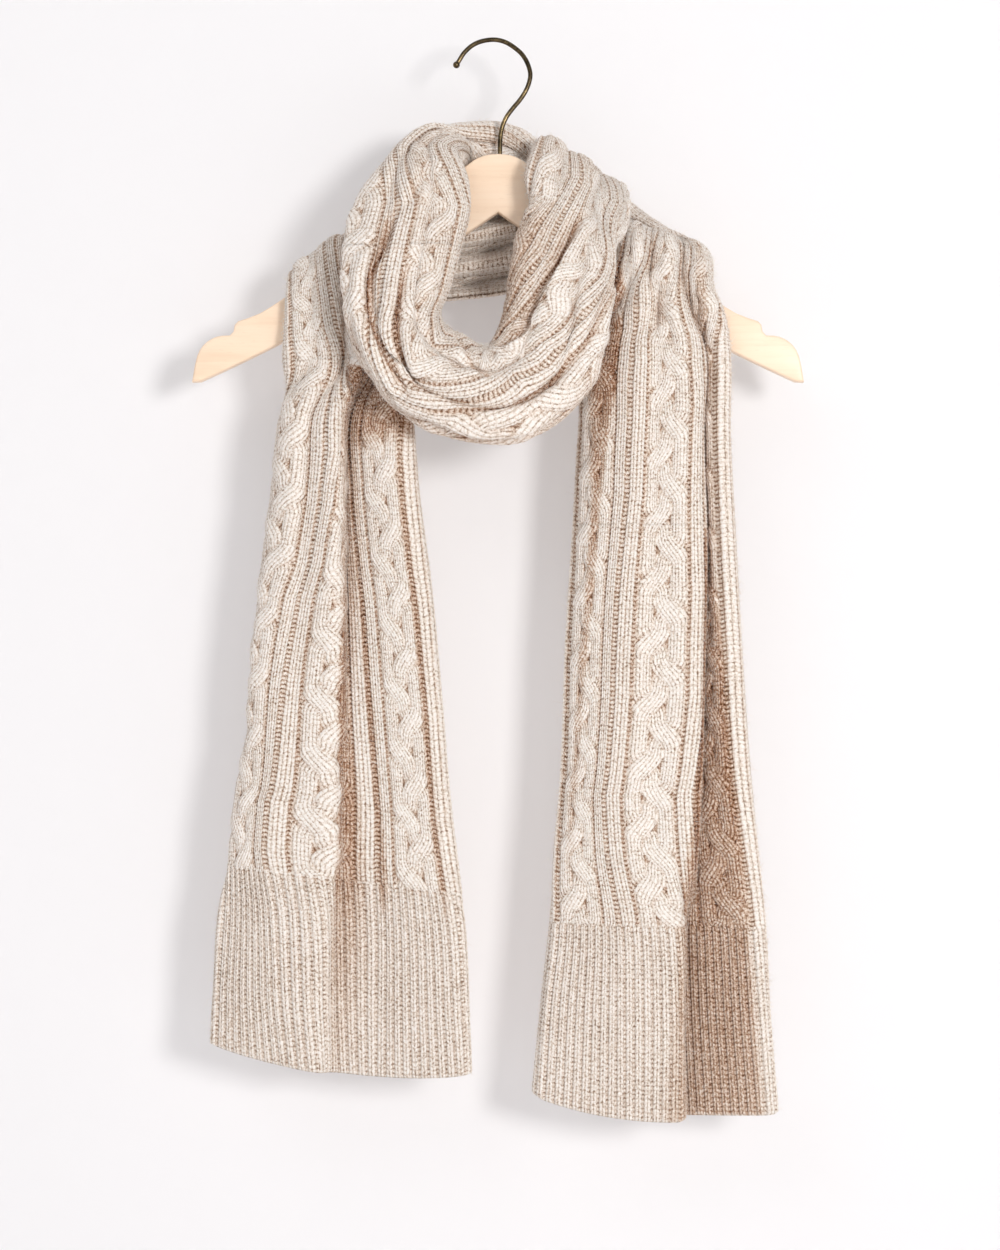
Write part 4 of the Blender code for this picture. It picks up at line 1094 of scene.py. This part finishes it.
def knit_finish():
    f = Finish("oatmeal_knit")
    where = f.here()
    uv = f.node("ShaderNodeUVMap", uv_map="stitch")
    parts = f.node("ShaderNodeSeparateXYZ", Vector=uv.outputs[0])
    a, b = parts.outputs[0], parts.outputs[1]
    purl = f.node("ShaderNodeAttribute", attribute_name="purl").outputs["Fac"]
    rise = f.node("ShaderNodeAttribute", attribute_name="rise").outputs["Fac"]
    vee = f.node("ShaderNodeAttribute", attribute_name="vee").outputs["Fac"]
    shade = f.node("ShaderNodeAttribute", attribute_name="shade").outputs["Fac"]
    ridge = f.calc("SUBTRACT", 1.0, f.calc("ABSOLUTE", f.calc("SUBTRACT", f.times(f.calc("FRACT", a), 2.0), 1.0)))
    b = f.add(b, f.times(f.times(ridge, vee), 0.42))
    # the stitches: legs and bars light, the gaps between them darker, as painted shade between the stitches
    leg = f.calc("ABSOLUTE", f.calc("SINE", f.times(a, 2 * math.pi)))
    row = f.calc("ABSOLUTE", f.calc("SINE", f.times(b, math.pi)))
    knit = f.times(f.calc("POWER", leg, 0.60), f.add(f.times(f.calc("POWER", row, 0.7), 0.55), 0.45))
    bars = f.times(f.calc("POWER", row, 0.8),
                   f.add(f.times(f.calc("ABSOLUTE", f.calc("COSINE", f.times(a, math.pi))), 0.35), 0.6))
    plain = f.calc("SUBTRACT", 1.0, purl)
    pattern = f.add(f.times(knit, plain), f.times(bars, purl))
    # the yarn: a marl of light and brown plies, with loose fibres over it
    heather = f.noise(where, 950.0, 2.0, 0.6)
    speck = f.noise(where, 430.0, 1.0, 0.5)
    fine = f.noise(where, 3200.0, 2.0, 0.6)
    patch = f.noise(where, 26.0, 2.0, 0.5)
    value = f.add(f.times(pattern, 0.62), f.times(f.calc("SUBTRACT", heather, 0.5), 1.7))
    value = f.add(value, f.times(f.calc("SUBTRACT", speck, 0.5), 0.8))
    # painted shade: low relief darker, raised relief lighter
    value = f.add(value, f.times(rise, 0.22))
    value = f.add(value, f.times(purl, 0.03))
    value = f.add(value, f.times(f.calc("SUBTRACT", fine, 0.5), 0.8))
    value = f.add(value, f.times(f.calc("SUBTRACT", patch, 0.5), 0.18))
    value = f.add(value, 0.125)
    colour = f.ramp(value, (
        (0.00, (0.190, 0.115, 0.070)),
        (0.18, (0.475, 0.350, 0.260)),
        (0.38, (0.725, 0.612, 0.520)),
        (0.58, (0.865, 0.770, 0.690)),
        (0.82, (0.970, 0.918, 0.872)),
    ))
    # painted shade gathers between the stitches more than on them
    shade = f.times(shade, f.calc("MAXIMUM", f.calc("SUBTRACT", 2.15, f.times(value, 1.9)), 0.25))
    # the painted shade's warm brown tint, multiplied over the colour
    deep = f.node("ShaderNodeCombineColor", Red=f.calc("POWER", 0.575, shade), Green=f.calc("POWER", 0.41, shade),
                  Blue=f.calc("POWER", 0.31, shade))
    colour = f.mix(1.0, colour, deep.outputs[0], "MULTIPLY")
    height = f.add(pattern, f.times(fine, 0.5))
    normal = f.bump(height, 0.9, 0.0007)
    return f.end(colour, 0.92, normal, Sheen_Weight=0.20, Sheen_Roughness=0.45,
                 Sheen_Tint=(1.0, 0.96, 0.92, 1.0), Specular_IOR_Level=0.18)


def fibre_finish():
    f = Finish("yarn_fibre")
    where = f.here()
    tone = f.noise(where, 150.0, 2.0, 0.5)
    colour = f.ramp(tone, ((0.3, (0.80, 0.72, 0.64)), (0.7, (0.97, 0.94, 0.90))))
    return f.end(colour, 0.85, None, Sheen_Weight=0.3, Specular_IOR_Level=0.2)


def wood_finish():
    f = Finish("pale_beech")
    where = f.here()
    # the growth lines run along the board, with fine pores
    rings = f.noise(where, 9.0, 3.0, 0.55, stretch=(1.2, 5.0, 7.0))
    lines = f.noise(where, 60.0, 4.0, 0.6, stretch=(0.35, 5.0, 6.0))
    pores = f.noise(where, 900.0, 2.0, 0.5, stretch=(0.16, 1.0, 1.0))
    value = f.add(f.times(rings, 0.55), f.times(lines, 0.45))
    colour = f.ramp(value, (
        (0.25, (0.860, 0.635, 0.450)),
        (0.50, (0.945, 0.735, 0.550)),
        (0.75, (0.975, 0.790, 0.615)),
    ))
    fleck = f.calc("GREATER_THAN", pores, 0.66)
    colour = f.mix(f.times(fleck, 0.14), colour, (0.66, 0.46, 0.31))
    normal = f.bump(f.add(f.times(lines, 0.5), f.times(pores, 0.2)), 0.12, 0.0003)
    rough = f.add(f.times(lines, 0.12), 0.36)
    return f.end(colour, rough, normal, Coat_Weight=0.18, Coat_Roughness=0.25, Specular_IOR_Level=0.45)


def wire_finish():
    f = Finish("aged_brass")
    where = f.here()
    wear = f.noise(where, 85.0, 4.0, 0.62)
    spots = f.noise(where, 520.0, 3.0, 0.6)
    value = f.add(f.times(wear, 0.75), f.times(spots, 0.25))
    colour = f.ramp(value, (
        (0.36, (0.030, 0.023, 0.015)),
        (0.52, (0.090, 0.066, 0.036)),
        (0.66, (0.230, 0.165, 0.080)),
        (0.80, (0.420, 0.310, 0.150)),
    ))
    rough = f.add(f.times(spots, 0.22), 0.17)
    normal = f.bump(spots, 0.10, 0.0002)
    return f.end(colour, rough, normal, Metallic=1.0)


# ---- hanger ----------------------------------------------------------------
WOOD_X = 2.9
WOOD_THICK = 12.0
WOOD_EASE = 1.7
STEM_X = 4.3
WIRE_R = 1.65
BALL_R = 2.5
BORE_R = 1.95
BORE_DEPTH = 24.0
ARM_TOP = (
    # out,   top
    (0.0,   -81.4),
    (4.0,   -81.6),
    (8.0,   -82.2),
    (11.4,  -83.1),
    (14.5,  -84.4),
    (17.4,  -86.0),
    (20.0,  -87.8),
    (30.0,  -95.6),
    (70.0,  -124.4),
    (110.0, -153.2),
    (140.0, -174.8),
    (156.0, -186.6),
    (164.0, -191.8),
    (171.0, -196.0),
    (180.0, -199.6),
    (187.0, -201.8),
    (189.6, -204.6),
    (190.4, -209.2),
    (193.0, -212.0),
    (198.4, -212.2),
    (202.4, -212.9),
    (206.0, -214.4),
    (209.4, -216.6),
    (212.4, -219.4),
    (214.8, -222.8),
    (216.6, -227.0),
    (218.3, -234.0),
    (219.6, -242.0),
    (220.2, -245.6),
)
CHEVRON_TOP = -123.4
CHEVRON_SLOPE = 0.69
CHEVRON_EASE = 0.000565
CHEVRON_STEPS = 36
HOOK = (
    # x,      z
    (-26.0,  -14.8),
    (-21.0,  -7.2),
    (-13.8,  -1.4),
    (-5.8,   1.2),
    (1.4,    1.6),
    (8.4,   -0.2),
    (14.4,  -3.8),
    (20.6,  -9.4),
    (24.6,  -16.6),
    (26.2,  -23.6),
    (25.2,  -29.6),
    (22.6,  -35.8),
    (18.6,  -41.9),
    (13.5,  -48.0),
    (9.0,   -54.2),
    (6.4,   -60.0),
    (4.9,   -66.5),
    (4.3,   -74.0),
    (4.3,   -82.0),
    (4.3,   -103.0),
)


def underside(out):
    return CHEVRON_TOP - CHEVRON_SLOPE * out + CHEVRON_EASE * out * out


def settle(body):
    """The body with its modifiers applied."""
    graph = bpy.context.evaluated_depsgraph_get()
    mesh = bpy.data.meshes.new_from_object(body.evaluated_get(graph))
    body.modifiers.clear()
    old = body.data
    body.data = mesh
    bpy.data.meshes.remove(old)
    return body


def build_wood(mat):
    half = list(ARM_TOP)
    end = half[-1][0]
    low = [(end * (1 - k / CHEVRON_STEPS), underside(end * (1 - k / CHEVRON_STEPS)))
           for k in range(CHEVRON_STEPS + 1)]
    low = [(out, z) for out, z in low if out < end - 1.0]
    right = half + low
    left = [(-out, z) for out, z in reversed(right[1:-1])]
    outline = right + left
    bm = bmesh.new()
    ring = [bm.verts.new(((WOOD_X + x) * MM, -WOOD_THICK / 2 * MM, z * MM)) for x, z in outline]
    face = bm.faces.new(ring)
    grown = bmesh.ops.extrude_face_region(bm, geom=[face])
    moved = [v for v in grown["geom"] if isinstance(v, bmesh.types.BMVert)]
    bmesh.ops.translate(bm, verts=moved, vec=(0.0, WOOD_THICK * MM, 0.0))
    bmesh.ops.recalc_face_normals(bm, faces=bm.faces)
    mesh = bpy.data.meshes.new("beech_hanger")
    bm.to_mesh(mesh)
    bm.free()
    wood = bpy.data.objects.new("beech_hanger", mesh)
    bpy.context.scene.collection.objects.link(wood)
    mesh.materials.append(mat)
    weights = mesh.attributes.new("bevel_weight_edge", "FLOAT", "EDGE")
    for edge in mesh.edges:
        a, b = (mesh.vertices[k].co for k in edge.vertices)
        weights.data[edge.index].value = 1.0 if abs(a.y - b.y) < 1e-6 else 0.0
    ease = wood.modifiers.new("eased_edges", "BEVEL")
    ease.width = WOOD_EASE * MM
    ease.segments = 5
    ease.limit_method = "WEIGHT"
    bm = bmesh.new()
    bmesh.ops.create_cone(bm, cap_ends=True, segments=36, radius1=BORE_R * MM,
                          radius2=BORE_R * MM, depth=(BORE_DEPTH + 6.0) * MM)
    drill_mesh = bpy.data.meshes.new("stem_drill")
    bm.to_mesh(drill_mesh)
    bm.free()
    drill = bpy.data.objects.new("stem_drill", drill_mesh)
    drill.location = (STEM_X * MM, 0.0, (ARM_TOP[0][1] - BORE_DEPTH / 2 + 3.0) * MM)
    bpy.context.scene.collection.objects.link(drill)
    cut = wood.modifiers.new("stem_hole", "BOOLEAN")
    cut.operation = "DIFFERENCE"
    cut.object = drill
    settle(wood)
    bpy.data.objects.remove(drill, do_unlink=True)
    wood.data.shade_smooth()
    wood.data.set_sharp_from_angle(angle=math.radians(35))
    return wood


def build_wire(mat):
    track = np.array(HOOK)
    keys = run_length(track)
    line = smooth_curve(keys, track, np.linspace(0.0, keys[-1], 190))
    way = np.gradient(line, axis=0)
    way /= np.linalg.norm(way, axis=1, keepdims=True)
    side = np.stack([-way[:, 1], way[:, 0]], -1)
    turn = np.linspace(0, 2 * math.pi, 29)[:-1]
    bm = bmesh.new()
    rings = []
    for k, (p, n) in enumerate(zip(line, side)):
        r = WIRE_R
        rings.append([bm.verts.new(((p[0] + n[0] * r * math.cos(t)) * MM, r * math.sin(t) * MM,
                                    (p[1] + n[1] * r * math.cos(t)) * MM)) for t in turn])
    for one, two in zip(rings, rings[1:]):
        for k in range(len(turn)):
            j = (k + 1) % len(turn)
            bm.faces.new((one[k], one[j], two[j], two[k]))
    bm.faces.new(rings[0][::-1])
    bm.faces.new(rings[-1])
    # the ball that closes the tip
    tip = track[0] - (track[1] - track[0]) / np.linalg.norm(track[1] - track[0]) * (BALL_R - 0.5)
    made = bmesh.ops.create_uvsphere(bm, u_segments=32, v_segments=20, radius=BALL_R * MM)
    for v in made["verts"]:
        v.co += Vector((tip[0] * MM, 0.0, tip[1] * MM))
    bmesh.ops.recalc_face_normals(bm, faces=bm.faces)
    mesh = bpy.data.meshes.new("brass_hook")
    bm.to_mesh(mesh)
    bm.free()
    mesh.shade_smooth()
    mesh.set_sharp_from_angle(angle=math.radians(60))
    hook = bpy.data.objects.new("brass_hook", mesh)
    bpy.context.scene.collection.objects.link(hook)
    mesh.materials.append(mat)
    return hook


# ---- the scene -------------------------------------------------------------
def look_at(thing, target):
    way = Vector(target) - thing.location
    thing.rotation_mode = "QUATERNION"
    thing.rotation_quaternion = way.to_track_quat("-Z", "Y")


def soft_light(name, place, target, size, power, colour=(1, 1, 1)):
    data = bpy.data.lights.new(name, "AREA")
    data.shape = "DISK"
    data.size = size
    data.energy = power
    data.color = colour
    lamp = bpy.data.objects.new(name, data)
    lamp.location = place
    bpy.context.scene.collection.objects.link(lamp)
    look_at(lamp, target)
    return lamp


def backdrop(name, corners, colour, glow, one_sided=False):
    mesh = bpy.data.meshes.new(name)
    mesh.from_pydata(corners, [], [(0, 1, 2, 3)])
    mesh.update()
    thing = bpy.data.objects.new(name, mesh)
    bpy.context.scene.collection.objects.link(thing)
    f = Finish(name + "_paint")
    tree = f.tree
    mat = f.end(colour, 0.95, None, Specular_IOR_Level=0.1)
    if one_sided:
        # seen through from behind, and no bar to a lamp behind it
        clear = f.node("ShaderNodeBsdfTransparent")
        mixer = f.node("ShaderNodeMixShader")
        path = f.node("ShaderNodeLightPath")
        shape = f.node("ShaderNodeNewGeometry")
        either = f.calc("MAXIMUM", shape.outputs["Backfacing"], path.outputs["Is Shadow Ray"])
        tree.links.new(either, mixer.inputs[0])
        tree.links.new(f.shader.outputs[0], mixer.inputs[1])
        tree.links.new(clear.outputs[0], mixer.inputs[2])
        tree.links.new(mixer.outputs[0], tree.nodes["Material Output"].inputs["Surface"])
    f.shader.inputs["Emission Color"].default_value = (1.0, 0.985, 0.99, 1.0)
    f.shader.inputs["Emission Strength"].default_value = glow
    mesh.materials.append(mat)
    return thing


def main():
    knit = knit_finish()
    fibre = fibre_finish()
    s = make_strip()
    at, spans = s["at"], s["spans"]
    rows = len(at)

    def row_of(reach):
        k = int(round(reach / at[-1] * (rows - 1)))
        return k + (k % 2) if k < rows - 1 else k

    pieces = (
        # piece,              stretches it shows,   node,               back rows, fibres
        ("knit_tail_left",    "tail_left",  0.0, 1.0,  "scarf_tail_left",  4, 15000),
        ("knit_neck_back",    "neck_back",  0.0, 1.0,  "scarf_neck_back",  1, 3500),
        ("knit_front_loop",   "loop",       0.0, 1.0,  "scarf_front_loop", 4, 14000),
        ("knit_neck_top",     "neck_top",   0.0, 1.0,  "scarf_neck_top",   4, 6500),
        ("knit_tail_fan",     "tail_right", 0.0, 0.42, "scarf_tail_right", 4, 7500),
        ("knit_tail_right",   "tail_right", 0.42, 1.0, "scarf_tail_right", 4, 13000),
    )
    for name, stretch, low, high, node, back_rows, fibres in pieces:
        start, end = spans[stretch]
        first = row_of(start + (end - start) * low)
        last = row_of(start + (end - start) * high)
        piece = shell(name, s, first, last, knit, back_rows, 1 if back_rows == 1 else 2)
        loose = fuzz(name + "_fibres", s, first, last, fibres, fibre)
        for part in (piece, loose):
            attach(part, "root")
        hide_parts(node)

    wood = build_wood(wood_finish())
    wire = build_wire(wire_finish())
    for piece, slot, nodes in ((wood, "wood", ("hanger_wood",)), (wire, "wire", ("hanger_hook", "hanger_hook_tip"))):
        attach(piece, "root")
        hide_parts(*nodes)

    # wall, floor, light and camera
    back = 0.070
    backdrop("pale_wall", [(-3, back, -1.12), (3, back, -1.12), (3, back, 2.2), (-3, back, 2.2)],
             (0.72, 0.710, 0.722), 0.17, one_sided=True)
    backdrop("pale_floor", [(-3, -3.2, -1.12), (3, -3.2, -1.12), (3, 3.2, -1.12), (-3, 3.2, -1.12)],
             (0.90, 0.89, 0.89), 0.0)
    middle = (0.0, 0.0, -0.38)
    soft_light("key", (1.05, -2.5, -0.10), middle, 0.58, 34.0, (1.0, 0.985, 0.965))
    soft_light("fill", (-1.3, -2.2, 1.6), middle, 2.0, 13.0, (0.98, 0.985, 1.0))
    soft_light("front", (0.1, -2.6, -0.1), middle, 0.9, 3.0, (1.0, 0.99, 0.98))
    soft_light("rear", (0.6, 2.4, 0.6), middle, 1.8, 18.0)
    world = bpy.data.worlds.new("studio")
    bpy.context.scene.world = world
    world.use_nodes = True
    world.node_tree.nodes["Background"].inputs[0].default_value = (0.93, 0.925, 0.93, 1.0)
    world.node_tree.nodes["Background"].inputs[1].default_value = 0.52
    data = bpy.data.cameras.new("camera")
    data.sensor_width = 36.0
    data.lens = 18.0 / (0.4508 / 2.0)
    data.clip_start, data.clip_end = 0.05, 30.0
    camera = bpy.data.objects.new("camera", data)
    camera.location = (0.00433, -2.0, -0.4205)
    camera.rotation_euler = (math.radians(90), 0.0, 0.0)
    bpy.context.scene.collection.objects.link(camera)
    bpy.context.scene.camera = camera
    bpy.context.scene.view_settings.view_transform = "Standard"


main()
